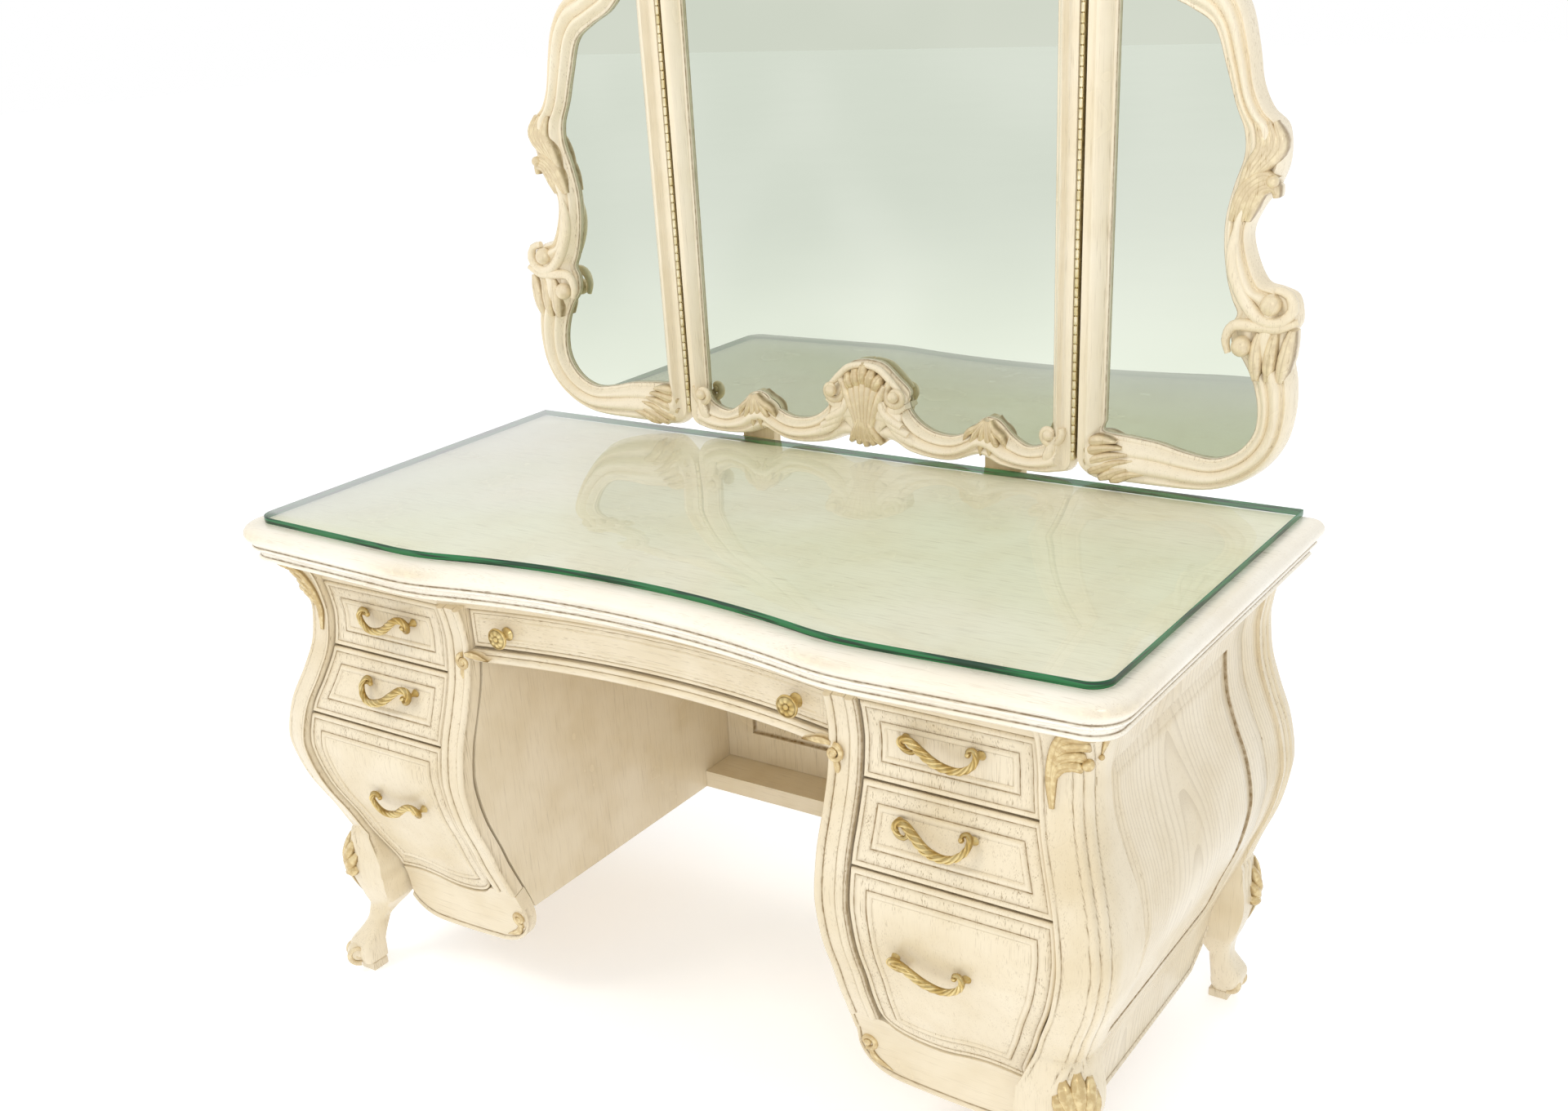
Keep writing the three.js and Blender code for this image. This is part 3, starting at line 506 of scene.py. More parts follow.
@dataclass(frozen=True)
class AntiquePaint:
    """Cream paint over oak, with a brown glaze wiped back and carvings rubbed with gilding.

    The paint fills most of the grain, so the eye gets a soft satin cream, thin brown lines where
    the glaze stayed in grooves, faint combed streaks, and a dull champagne gold on the carvings.
    """

    name: str
    grain: Grain
    figured: bool = False
    paint: str = "EBDFC6"
    shade: str = "DDCDAC"
    glaze: str = "7F6332"
    gold: str = "BFA266"
    gold_light: str = "E4D0A0"
    gold_dirt: str = "7A5E30"
    streak_mm: float = 1.1
    speck_mm: float = 9.0
    cloud_mm: float = 130.0
    figure_mm: float = 8.0

    def add_figure(self, add: Adder, place_of: Any) -> Any:
        """Adds the nested arches of flat-sawn oak as thin lines, and returns their socket."""
        centre = {"Vector": place_of, "Location": (0.0, 0.02, -0.018), "Scale": (0.0, 1.0, 0.12)}
        laid = add("Mapping", inputs=centre)
        wander = add("TexNoise", inputs={"Vector": laid, "Scale": 9.0, "Detail": 2.0}, output=1)
        bending = {0: wander, 1: (0.05, 0.05, 0.05), 2: laid}
        bent = add("VectorMath", {"operation": "MULTIPLY_ADD"}, bending)
        length = add("VectorMath", {"operation": "LENGTH"}, {0: bent}, "Value")
        turns = add("Math", {"operation": "MULTIPLY"}, {0: length, 1: 1 / (self.figure_mm * MM)})
        tooth = add("Math", {"operation": "FRACT"}, {0: turns})
        return add("MapRange", SPREAD, {"Value": tooth, "From Min": 0.5, "From Max": 1.0})

    def build(self) -> bpy.types.Material:
        """Builds the material."""
        made, add, place_of = new_material(self.name)
        glaze, gild = (add("Attribute", {"attribute_name": of}, output="Fac") for of in ("glaze", "gild"))
        streaks = add_streaks(add, place_of, self.grain.stretched(self.streak_mm))
        broad = add_streaks(add, place_of, self.grain.stretched(5 * self.streak_mm))
        cloud = add_streaks(add, place_of, even(self.cloud_mm), 3.0)
        speck = add_streaks(add, place_of, even(self.speck_mm), 4.0)
        body = add_clouded(add, cloud, (0.3, 0.8), self.paint, self.shade)
        # Combed glaze: fine streaks everywhere, thick where the attribute holds some glaze.
        thin, wide, patchy, deep = (
            add("MapRange", SPREAD, {"Value": value, "From Min": low, "From Max": high})
            for value, low,
            high in ((streaks, 0.5, 0.72), (broad, 0.35, 0.65), (speck, 0.3, 0.7), (glaze, 0.3, 1.0))
        )
        comb = add("Math", TIMES, {0: thin, 1: wide})
        brown = linear(self.glaze)
        faint = add("Math", TIMES, {0: comb, 1: 0.24})
        body = add("Mix", COLOURS, {0: faint, FIRST: body, SECOND: brown}, MIXED)
        if self.figured:
            lines = add("Math", TIMES, {0: self.add_figure(add, place_of), 1: 0.2})
            body = add("Mix", COLOURS, {0: lines, FIRST: body, SECOND: brown}, MIXED)
        uneven = add("Math", TIMES_PLUS, {0: patchy, 1: 0.45, 2: 0.55})
        held = add("Math", TIMES, {0: deep, 1: uneven})
        soft = add("Math", TIMES, {0: comb, 1: add("Math", TIMES, {0: glaze, 1: 1.7})})
        left = add("Math", MOST, {0: held, 1: soft})
        body = add("Mix", COLOURS, {0: left, FIRST: body, SECOND: brown}, MIXED)
        leaf = add_clouded(add, speck, (0.4, 0.65), self.gold, self.gold_light)
        dirt = add("Math", TIMES, {0: held, 1: 0.85})
        leaf = add("Mix", COLOURS, {0: dirt, FIRST: leaf, SECOND: linear(self.gold_dirt)}, MIXED)
        # Gold shows where the gild attribute is, rubbed back unevenly; on the top's nose this gold is partly
        # painted highlight.
        rub = add("Math", TIMES_PLUS, {0: uneven, 1: 0.5, 2: 0.5})
        rubbed = add("Math", TIMES, {0: gild, 1: rub})
        fine = add("Math", TIMES, {0: speck, 1: 0.3})
        height = add("Math", TIMES_PLUS, {0: streaks, 1: 0.7, 2: fine})
        surface = {
            "Base Color": add("Mix", COLOURS, {0: rubbed, FIRST: body, SECOND: leaf}, MIXED),
            "Metallic": add("Math", TIMES, {0: rubbed, 1: 0.45}),
            "Roughness": add("Math", TIMES_PLUS, {0: cloud, 1: 0.12, 2: 0.2}),
            "Normal": add("Bump", inputs={"Strength": 0.35, "Distance": 0.0004, "Height": height}),
            "IOR": 1.5,
        }
        add("OutputMaterial", inputs={"Surface": add("BsdfPrincipled", inputs=surface)})
        return made


@dataclass(frozen=True)
class CastBrass:
    """Lightly antiqued cast brass: warm, satin, and dark where the casting is deep."""

    name: str = "cast_brass"
    metal: str = "E4CF96"
    dull: str = "C6A968"
    deep: str = "6A5128"
    grit_mm: float = 2.5
    cloud_mm: float = 18.0

    def build(self) -> bpy.types.Material:
        """Builds the material."""
        made, add, place_of = new_material(self.name)
        glaze = add("Attribute", {"attribute_name": "glaze"}, output="Fac")
        grit = add_streaks(add, place_of, even(self.grit_mm), 3.0)
        cloud = add_streaks(add, place_of, even(self.cloud_mm))
        body = add_clouded(add, cloud, (0.4, 0.7), self.metal, self.dull)
        dirt = add("Math", TIMES, {0: glaze, 1: 0.8})
        surface = {
            "Base Color": add("Mix", COLOURS, {0: dirt, FIRST: body, SECOND: linear(self.deep)}, MIXED),
            "Roughness": add("Math", TIMES_PLUS, {0: cloud, 1: 0.2, 2: 0.2}),
            "Normal": add("Bump", inputs={"Strength": 0.2, "Distance": 0.0002, "Height": grit}),
            "Metallic": 1.0,
        }
        add("OutputMaterial", inputs={"Surface": add("BsdfPrincipled", inputs=surface)})
        return made


@dataclass(frozen=True)
class PlainWood:
    """Sawn and sealed wood: straight grain lines, long pores and a low satin sheen."""

    name: str
    grain: Grain
    light: str
    dark: str
    roughness: float = 0.5
    line_mm: float = 2.6
    pore_mm: float = 0.8
    cloud_mm: float = 30.0

    def build(self) -> bpy.types.Material:
        """Builds the material."""
        made, add, place_of = new_material(self.name)
        line = add_streaks(add, place_of, self.grain.stretched(self.line_mm), 4.0)
        pores = add_streaks(add, place_of, self.grain.stretched(self.pore_mm), 1.0)
        cloud = add_streaks(add, place_of, self.grain.stretched(self.cloud_mm))
        body = add_clouded(add, cloud, (0.3, 0.7), self.light, self.dark)
        surface = {
            "Base Color": add_clouded(add, line, (0.48, 0.75), body, self.dark, 0.5),
            "Roughness": add("Math", TIMES_PLUS, {0: line, 1: 0.2, 2: self.roughness - 0.1}),
            "Normal": add("Bump", inputs={"Strength": 0.3, "Distance": 0.0003, "Height": pores}),
        }
        add("OutputMaterial", inputs={"Surface": add("BsdfPrincipled", inputs=surface)})
        return made


@dataclass(frozen=True)
class Drifting:
    """A smooth surface whose colour and polish drift a little from place to place."""

    name: str
    colours: tuple[str, str]
    scale: tuple[float, float, float]
    bounds: tuple[float, float]
    polish: tuple[float, float]
    detail: float = 1.0
    settings: tuple[tuple[str, Any], ...] = ()

    def build(self) -> bpy.types.Material:
        """Builds the material."""
        made, add, place_of = new_material(self.name)
        drift = add_streaks(add, place_of, self.scale, self.detail)
        gain, least = self.polish
        surface = {
            "Base Color": add_clouded(add, drift, self.bounds, *self.colours),
            "Roughness": add("Math", TIMES_PLUS, {0: drift, 1: gain, 2: least}),
            **dict(self.settings),
        }
        add("OutputMaterial", inputs={"Surface": add("BsdfPrincipled", inputs=surface)})
        return made


# Silvered float glass: a bright mirror with the faint green of the plate.
SILVERED_GLASS = Drifting(
    "silvered_plate_glass", ("D6DBCD", "CFD5C6"), even(260.0), (0.3, 0.7), (0.012, 0.004),
    settings=(("Metallic", 1.0),),
)
# Polished edge of float glass: light runs down the plate, so it shows a deep bottle green.
# The bands of lighter and darker green stretched along the edge are painted reflections; the green itself is the
# glass's own.
PLATE_EDGE = Drifting(
    "float_glass_edge", ("1E7440", "0C3A22"), (9.0, 9.0, 240.0), (0.46, 0.6), (0.05, 0.04), 2.0,
    (("IOR", 1.52),)
)


@dataclass(frozen=True)
class PlateFace:
    """Polished face of float glass laid on a table: seen through, with a Fresnel reflection."""

    name: str = "float_glass_face"
    tint: str = "FEFFFD"
    greener: str = "FCFEFA"
    cloud_mm: float = 300.0

    def build(self) -> bpy.types.Material:
        """Builds the material."""
        made, add, place_of = new_material(self.name)
        cloud = add_streaks(add, place_of, even(self.cloud_mm), 1.0)
        tint = add_clouded(add, cloud, (0.3, 0.7), self.tint, self.greener)
        through = add("BsdfTransparent", inputs={"Color": tint})
        gloss = add("BsdfGlossy", inputs={"Roughness": 0.015})
        # Only the outer side reflects: rays cross the plate without bending.
        bare = add("Fresnel", inputs={"IOR": 1.55})
        share = add("Math", LESS, {0: bare, 1: add("NewGeometry", output="Backfacing")})
        shader = add("MixShader", inputs={0: share, 1: through, 2: gloss})
        add("OutputMaterial", inputs={"Surface": shader})
        return made


def built(recipe: Any) -> Any:
    """Gives a field that builds a finish from its recipe."""
    return field(default_factory=recipe.build)


@dataclass
class Finishes:
    """The finishes of the table, built once."""

    paint_up: bpy.types.Material = built(AntiquePaint("antique_cream_paint_upright", Grain.UP))
    paint_across: bpy.types.Material = built(AntiquePaint("antique_cream_paint_across", Grain.ACROSS))
    paint_figured: bpy.types.Material = built(AntiquePaint("antique_cream_paint_on_oak", Grain.UP, True))
    # A lighter copy of the cream paint for the top, as painted light: paler so that the top reads bright under the
    # glass and on its nose.
    paint_top_lit_copy: bpy.types.Material = built(
        AntiquePaint("antique_cream_paint_lit_copy_on_top", Grain.ACROSS, paint="FDF8EC", shade="F7EFDE")
    )
    # A lighter copy of the cream paint for the mirror frames, as painted light: paler so that they read brighter
    # than the rest of the table.
    paint_mirror: bpy.types.Material = built(
        AntiquePaint("antique_cream_paint_on_carving", Grain.UP, paint="F8EED9", shade="EFE2C6")
    )
    brass: bpy.types.Material = built(CastBrass())
    hinge_brass: bpy.types.Material = built(CastBrass("pale_rolled_brass", "F0E6C6", "DDCFA2", "8A7748"))
    drawer_wood: bpy.types.Material = built(PlainWood("sealed_birch", Grain.DEEP, "DCC59B", "BF9F6C"))
    backing: bpy.types.Material = built(
        PlainWood("stained_backing_board", Grain.UP, "E0D0AC", "CBB88E", 0.65)
    )
    mirror: bpy.types.Material = built(SILVERED_GLASS)
    glass_face: bpy.types.Material = built(PlateFace())
    glass_edge: bpy.types.Material = built(PLATE_EDGE)


def dress(made: bpy.types.Object, *finishes: bpy.types.Material) -> bpy.types.Object:
    """Gives a piece its finishes, the first of them all over."""
    made.data.materials.clear()
    for finish in finishes:
        made.data.materials.append(finish)
    return made


def fit(
    made: bpy.types.Object, finish: bpy.types.Material, body: str, slot: str, *stands_for: str
) -> bpy.types.Object:
    """Dresses a piece, puts it on a body and says which CAD nodes it stands for."""
    dress(made, finish)
    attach(made, body)
    if stands_for:
        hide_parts(*stands_for)
    LOG.info("%s rides %s and stands for %s", made.name, body, ", ".join(stands_for) or "nothing")
    return made


# ---- Faces and reliefs -------------------------------------------------------------------------
# One line of a moulded section: millimetres along it, millimetres outward, and glaze held there.
LIPPED_EDGE: Points = [
    (0, -3.6, 0.75), (0.5, -1.8, 0.35), (1.6, 0.1, 0.0), (3.2, 1.0, 0.0), (5.0, 0.9, 0.0),
    (6.3, 0.2, 0.15), (7.3, -0.9, 0.95), (8.4, -0.7, 0.6), (10, -0.4, 0.5), (14, -0.3, 0.34),
    (20, -0.3, 0.36), (23.4, -0.4, 0.55), (24.6, -1.5, 1.0), (25.7, -0.6, 0.4), (27.0, 1.0, 0.0),
    (28.8, 1.8, 0.0), (30.6, 1.4, 0.0), (32.0, 0.3, 0.2), (33.0, -0.7, 0.6), (34.4, -0.8, 0.35),
    (38, -0.5, 0.16), (46, 0.2, 0.04), (60, 0.5, 0.0),
]
POST_SECTION: Points = [
    (0, -2.5, 0.8), (0.8, 0.4, 0.3), (2.4, 2.0, 0.0), (4.4, 2.0, 0.0), (6.0, 0.4, 0.2),
    (7.0, -1.3, 0.9), (8.2, -0.9, 0.5), (11, -1.3, 0.12), (16, -2.2, 0.03), (24, -2.9, 0.0),
    (32, -2.5, 0.0), (37, -1.4, 0.04), (40, -0.6, 0.25), (41.2, -1.9, 0.9), (42.6, 0.6, 0.2),
    (45, 2.3, 0.0), (47.6, 2.8, 0.0), (50.2, 2.2, 0.0), (52.4, 0.4, 0.25), (53.6, -1.7, 0.9),
    (55, 0.2, 0.25), (58, 1.7, 0.0), (61.5, 2.1, 0.0), (65, 1.4, 0.0), (67.6, 0.1, 0.3),
    (68.8, -1.7, 0.9), (70.2, -0.3, 0.35), (73, 0.0, 0.1), (86, 0.0, 0.02), (140, 0.0, 0.0),
]
BACK_POST_SECTION: Points = [
    (0, 0.0, 0.4), (2, 0.0, 0.1), (8, 0.0, 0.05), (10.4, -0.2, 0.3), (11.6, -1.7, 0.9),
    (13, 0.4, 0.2), (16, 1.9, 0.0), (19.6, 1.9, 0.0), (22.6, 0.4, 0.2), (24, -1.6, 0.9),
    (25.4, 0.4, 0.2), (28.6, 2.2, 0.0), (32.4, 2.2, 0.0), (35.4, 0.4, 0.2), (36.8, -1.4, 0.9),
    (39, -0.6, 0.3), (44, -1.4, 0.0), (52, -1.0, 0.0), (60, 0.0, 0.0), (120, 0.0, 0.0),
]


def section(points: Points, at: Any) -> tuple[np.ndarray, np.ndarray]:
    """Gives a moulded section's outward distance and glaze at places along it."""
    table = np.asarray(points, float)
    at = np.asarray(at, float)
    return np.interp(at, table[:, 0], table[:, 1]), np.interp(at, table[:, 0], table[:, 2])


@dataclass
class Face:
    """A four-sided face in elevation, whose grid lines run parallel to its borders."""

    left: LineOf
    right: LineOf
    low: LineOf
    high: LineOf

    def grid(self, offsets: Sequence[float], across: int, up: int) -> tuple[np.ndarray, ...]:
        """Lays grid lines at set distances from each border and evenly between.

        Args:
            offsets: Distances of lines from every border, from 0.
            across: Further lines between the sides.
            up: Further lines between the foot and the head.

        Returns:
            Sideways place, height and distance to the nearest border of each point.
        """
        off = np.asarray(offsets, float)
        last = off[-1]
        share_u = np.linspace(0, 1, across + 2)[1:-1]
        share_v = np.linspace(0, 1, up + 2)[1:-1]

        def line(near: np.ndarray, far: np.ndarray, share: np.ndarray, axis: int) -> np.ndarray:
            """Places the grid lines between two borders."""
            shape = [1, 1]
            shape[axis] = -1
            steps = off.reshape(shape)
            middle = share.reshape(shape)
            inner = (near + last) * (1 - middle) + (far - last) * middle
            return np.concatenate([near + steps, inner, far - np.flip(steps, axis)], axis=axis)

        columns = 2 * len(off) + across
        rows = 2 * len(off) + up
        mid_z = float(np.mean(self.high(np.zeros(1)))) * 0.5 + float(np.mean(self.low(np.zeros(1)))) * 0.5
        z = np.full((columns, rows), mid_z)
        x = np.zeros_like(z)
        for _ in range(6):
            near, far = self.left(z), self.right(z)
            parts = line(near[:1], far[:1], share_u, 0)
            steps_x = parts[:, :1]
            share_x = (steps_x - near[0, 0]) / (far[0, 0] - near[0, 0])
            x = near + share_x * (far - near)
            head = len(off)
            x[:head] = near[:head] + off[:, None]
            x[-head:] = far[-head:] - off[::-1][:, None]
            foot, top = self.low(x), self.high(x)
            z = np.empty_like(x)
            z[:, :head] = foot[:, :head] + off
            z[:, -head:] = top[:, -head:] - off[::-1]
            inner_low, inner_high = foot + last, top - last
            z[:, head : rows - head] = (
                inner_low[:, head : rows - head] * (1 - share_v)
                + inner_high[:, head : rows - head] * share_v
            )
        side = np.minimum(x - self.left(z), self.right(z) - x)
        rise = np.minimum(z - self.low(x), self.high(x) - z)
        return x, z, np.minimum(side, rise)


def swelled(x: np.ndarray, z: np.ndarray, out: np.ndarray, waist: float) -> np.ndarray:
    """Places points on the swelling front, moved outward square to it."""
    slope = on_y(z)
    length = np.sqrt(1 + slope**2)
    return place(x, waist + swell(z) + out / length, z - out * slope / length)


def constant(value: float) -> LineOf:
    """Gives a border that keeps one value."""
    return lambda at: np.full(np.shape(at), float(value))


Surface = Callable[[np.ndarray, np.ndarray, np.ndarray], np.ndarray]


@dataclass
class Carver:
    """Carves leaves, scrolls and beads that lie on a surface."""

    surface: Surface
    name: str
    pieces: list[bpy.types.Object] = field(default_factory=list)
    gild: float = 1.0
    sink: float = 4.0

    def tone(self, gild: float | None) -> float:
        """Gives the gilding asked for, or else the carver's own."""
        return self.gild if gild is None else gild

    def leaf(
        self, path: Points, half: Sequence[float], lift: Sequence[float], ridge: float = 0.0,
        sink: float | None = None, gild: float | None = None, rows: int = 15, columns: int = 9,
    ) -> None:
        """Carves one lobe of a leaf or a shell.

        Args:
            path: Middle line of the lobe, on the surface.
            half: Half width along it, evenly spaced.
            lift: Height of its crown along it, evenly spaced.
            ridge: Depth of a vein along its middle; a negative one raises it.
            sink: How far its underside lies in the surface, or None for the carver's own.
            gild: Gilding, or None for the carver's own.
            rows: Points along it.
            columns: Points across it.
        """
        line = resample(catmull(path, 8), rows)
        along = unit(np.gradient(line, axis=0))
        side = np.stack([along[:, 1], -along[:, 0]], axis=1)
        t = np.linspace(0, 1, rows)
        width = np.interp(t, np.linspace(0, 1, len(half)), half)
        crown = np.interp(t, np.linspace(0, 1, len(lift)), lift)
        w = np.sin(np.linspace(-math.pi / 2, math.pi / 2, columns))
        flat = line[:, None, :] + side[:, None, :] * (width[:, None] * w)[..., None]
        round_of = np.sqrt(np.clip(1 - w**2, 0, 1)) ** 0.8
        vein = ridge * np.exp(-((w / 0.28) ** 2))
        height = crown[:, None] * round_of - vein[None, :]
        front = self.surface(flat[..., 0], flat[..., 1], height)
        under = np.full(height.shape, -(self.sink if sink is None else sink))
        back = self.surface(flat[..., 0], flat[..., 1], under)
        glaze = np.clip(np.abs(w) ** 4 * 0.95 + 0.6 * (ridge > 0) * np.exp(-((w / 0.2) ** 2)), 0, 1)
        sheet = Sheet(front, np.broadcast_to(glaze, height.shape), self.tone(gild))
        self.pieces.append(board(f"{self.name}_lobe", sheet, back, 70))

    def scroll(
        self, centre: Sequence[float], radius: float, turns: float, start: float,
        thick: float, sense: int = 1, lift: float = 2.0, gild: float | None = None, ball: float = 1.25,
    ) -> None:
        """Carves a volute: a thinning spiral roll that ends in a ball.

        Args:
            centre: Its eye, on the surface.
            radius: Outer radius.
            turns: Turns of the spiral.
            start: Angle of its outer end, in degrees.
            thick: Radius of the roll at its outer end.
            sense: 1 anticlockwise, -1 clockwise.
            lift: How far it stands out at the eye.
            gild: Gilding, or None for the carver's own.
            ball: Radius of the ball as a share of the roll's.
        """
        t = np.linspace(0, 1, int(14 * turns) + 4)
        angle = math.radians(start) + sense * 2 * math.pi * turns * t
        reach = radius * (1 - t) ** 0.8
        u = centre[0] + reach * np.cos(angle)
        v = centre[1] + reach * np.sin(angle)
        path = self.surface(u, v, lift * t)
        tone = self.tone(gild)
        self.pieces.append(rod(f"{self.name}_roll", path, thick * (1 - 0.45 * t), 10, (0.12, tone)))
        self.knob(centre, thick * ball, lift, gild=tone)

    def knob(self, centre: Sequence[float], radius: float, lift: float, gild: float | None = None) -> None:
        """Carves a ball at a place on the surface."""
        clear_selection()
        at = self.surface(np.array(centre[0]), np.array(centre[1]), np.array(lift))
        bpy.ops.mesh.primitive_uv_sphere_add(
            segments=16, ring_count=10, radius=radius * MM, location=spot(at)
        )
        made = applied(f"{self.name}_ball")
        count = len(made.data.vertices)
        write_attribute(made, "glaze", np.full(count, 0.05))
        write_attribute(made, "gild", np.full(count, self.tone(gild)))
        self.pieces.append(smooth(made, 80))

    def roll(self, path: Points, thick: Sequence[float], lift: float, gild: float | None = None) -> None:
        """Carves a round stem along a line on the surface."""
        line = resample(catmull(path, 8), 24)
        points = self.surface(line[:, 0], line[:, 1], np.full(len(line), float(lift)))
        radii = np.interp(np.linspace(0, 1, 24), np.linspace(0, 1, len(thick)), thick)
        self.pieces.append(rod(f"{self.name}_stem", points, radii, 10, (0.1, self.tone(gild))))


# ---- Top ---------------------------------------------------------------------------------------
@dataclass
class Top:
    """Moulded wooden top with a serpentine front, and the plate glass on it."""

    half: float = 671.0
    corner: float = 642.0
    shoulder: float = 655.0
    bow: float = 613.0
    shoulder_x: float = 330.0
    soften: float = 45.0
    # From the underside up: distance outside the glass, height and glaze.
    moulding: Points = (
        (4, 716.3, 0.0), (11, 716.3, 0.2), (14.6, 717.2, 0.1), (16.4, 719.4, 0.0),
        (15.2, 721.8, 0.2), (12.6, 723.0, 0.95), (12.9, 725.6, 0.35), (14.4, 729.0, 0.1),
        (17.6, 732.4, 0.05), (21.2, 734.2, 0.1), (22.6, 735.4, 0.25), (22.8, 737.8, 0.2),
        (20.6, 739.2, 0.95), (21.8, 741.4, 0.5), (24.6, 744.0, 0.1), (28.0, 748.0, 0.0),
        (30.2, 752.0, 0.0), (31.0, 756.0, 0.0), (30.0, 760.6, 0.0), (27.0, 764.8, 0.0),
        (22.6, 767.8, 0.0), (17.0, 769.4, 0.0), (10.0, 769.9, 0.0), (2.0, 769.9, 0.45),
        (-12.0, 769.9, 0.1),
    )

    def plan(self, over: float) -> np.ndarray:
        """Gives the top's outline at a distance outside the glass, as x and depth."""
        half, corner = self.half + over, self.corner + over
        shoulder, bow = self.shoulder + over, self.bow + over
        round_of = max(28 + 0.774 * over, 6)
        rise = self.shoulder - self.bow
        radius = (self.shoulder_x**2 + rise**2) / (2 * rise)
        turn = math.asin((self.shoulder_x - self.soften) / radius)
        arc = np.linspace(0, turn, 22)
        middle = np.stack([radius * np.sin(arc), bow + radius * (1 - np.cos(arc))], 1)
        drop = (shoulder - corner) * self.soften / (half - self.shoulder_x)
        ends = np.array(
            [middle[-1], (self.shoulder_x, shoulder), (self.shoulder_x + self.soften, shoulder - drop)]
        )
        t = np.linspace(0, 1, 15)[1:, None]
        bend = (1 - t) ** 2 * ends[0] + 2 * t * (1 - t) * ends[1] + t**2 * ends[2]
        t = np.linspace(0, 1, 10)[1:, None]
        straight = bend[-1] * (1 - t) + np.array([half - round_of, corner]) * t
        turn_of = np.linspace(math.pi / 2, 0, 16)[1:]
        curve = np.stack(
            [half - round_of + round_of * np.cos(turn_of), corner - round_of + round_of * np.sin(turn_of)],
            1
        )
        side = np.stack([np.full(14, half), np.linspace(corner - round_of, 0, 15)[1:]], 1)
        right = np.vstack([middle, bend, straight, curve, side])
        return np.vstack([right, right[:0:-1] * (-1, 1)])

    def rubbed(self, outline: np.ndarray) -> np.ndarray:
        """Gives the gold on the nose, part rubbed gilding and part painted highlight: most at the corners and the
        shoulders.
        """
        spots = [(self.half + 12, self.corner + 12, 70.0), (self.shoulder_x, self.shoulder + 30, 55.0)]
        x, depth = np.abs(outline[:, 0]), outline[:, 1]
        total = np.zeros(len(outline))
        for spot_x, spot_depth, reach in spots:
            total += np.exp(-(((x - spot_x) ** 2 + (depth - spot_depth) ** 2) / reach**2))
        return 0.1 + 0.42 * total

    def build(self, finishes: Finishes) -> None:
        """Builds the wooden top and the glass."""
        rows, glazes, gilding_and_painted_highlight = [], [], []
        for over, height, glaze in self.moulding:
            outline = self.plan(over)
            nose = float(np.clip(1 - abs(height - 757) / 13, 0, 1))
            rows.append(place(outline[:, 0], outline[:, 1], height))
            glazes.append(np.full(len(outline), glaze))
            # The nose's gold, strongest at the corners and the shoulders, is partly rubbed gilding and partly
            # painted highlight.
            gilding_and_painted_highlight.append(self.rubbed(outline) * nose)
        wood = sweep("moulded_top", Sheet(np.array(rows), np.array(glazes), np.array(gilding_and_painted_highlight)), degrees=50)
        fit(wood, finishes.paint_top_lit_copy, "desk", PAINT, "top_board")
        levels = [(-1.2, 770.4), (-0.3, 770.9), (0, 771.8), (0, 778.6), (-0.3, 779.5), (-1.2, 780.0)]
        plate = [place(*self.plan(over).T, height) for over, height in levels]
        glass = sweep("plate_glass", Sheet(np.array(plate)), degrees=40)
        fit(glass, finishes.glass_face, "desk", "clear_glass", "glass_top")
        glass.data.materials.append(finishes.glass_edge)
        for polygon in glass.data.polygons:
            polygon.material_index = 0 if abs(polygon.normal.z) > 0.9 else 1


# ---- Drawers -----------------------------------------------------------------------------------
def foot_line(offset: float) -> LineOf:
    """Gives the shaped lower edge of the bottom drawer, moved up by an offset."""
    points = [
        (350, 234), (355, 212), (370, 195), (402, 184), (442, 182), (480, 190), (515, 192),
        (556, 186), (570, 183),
    ]
    line = catmull(points, 10)
    return lambda x: np.interp(x, line[:, 0], line[:, 1]) + offset


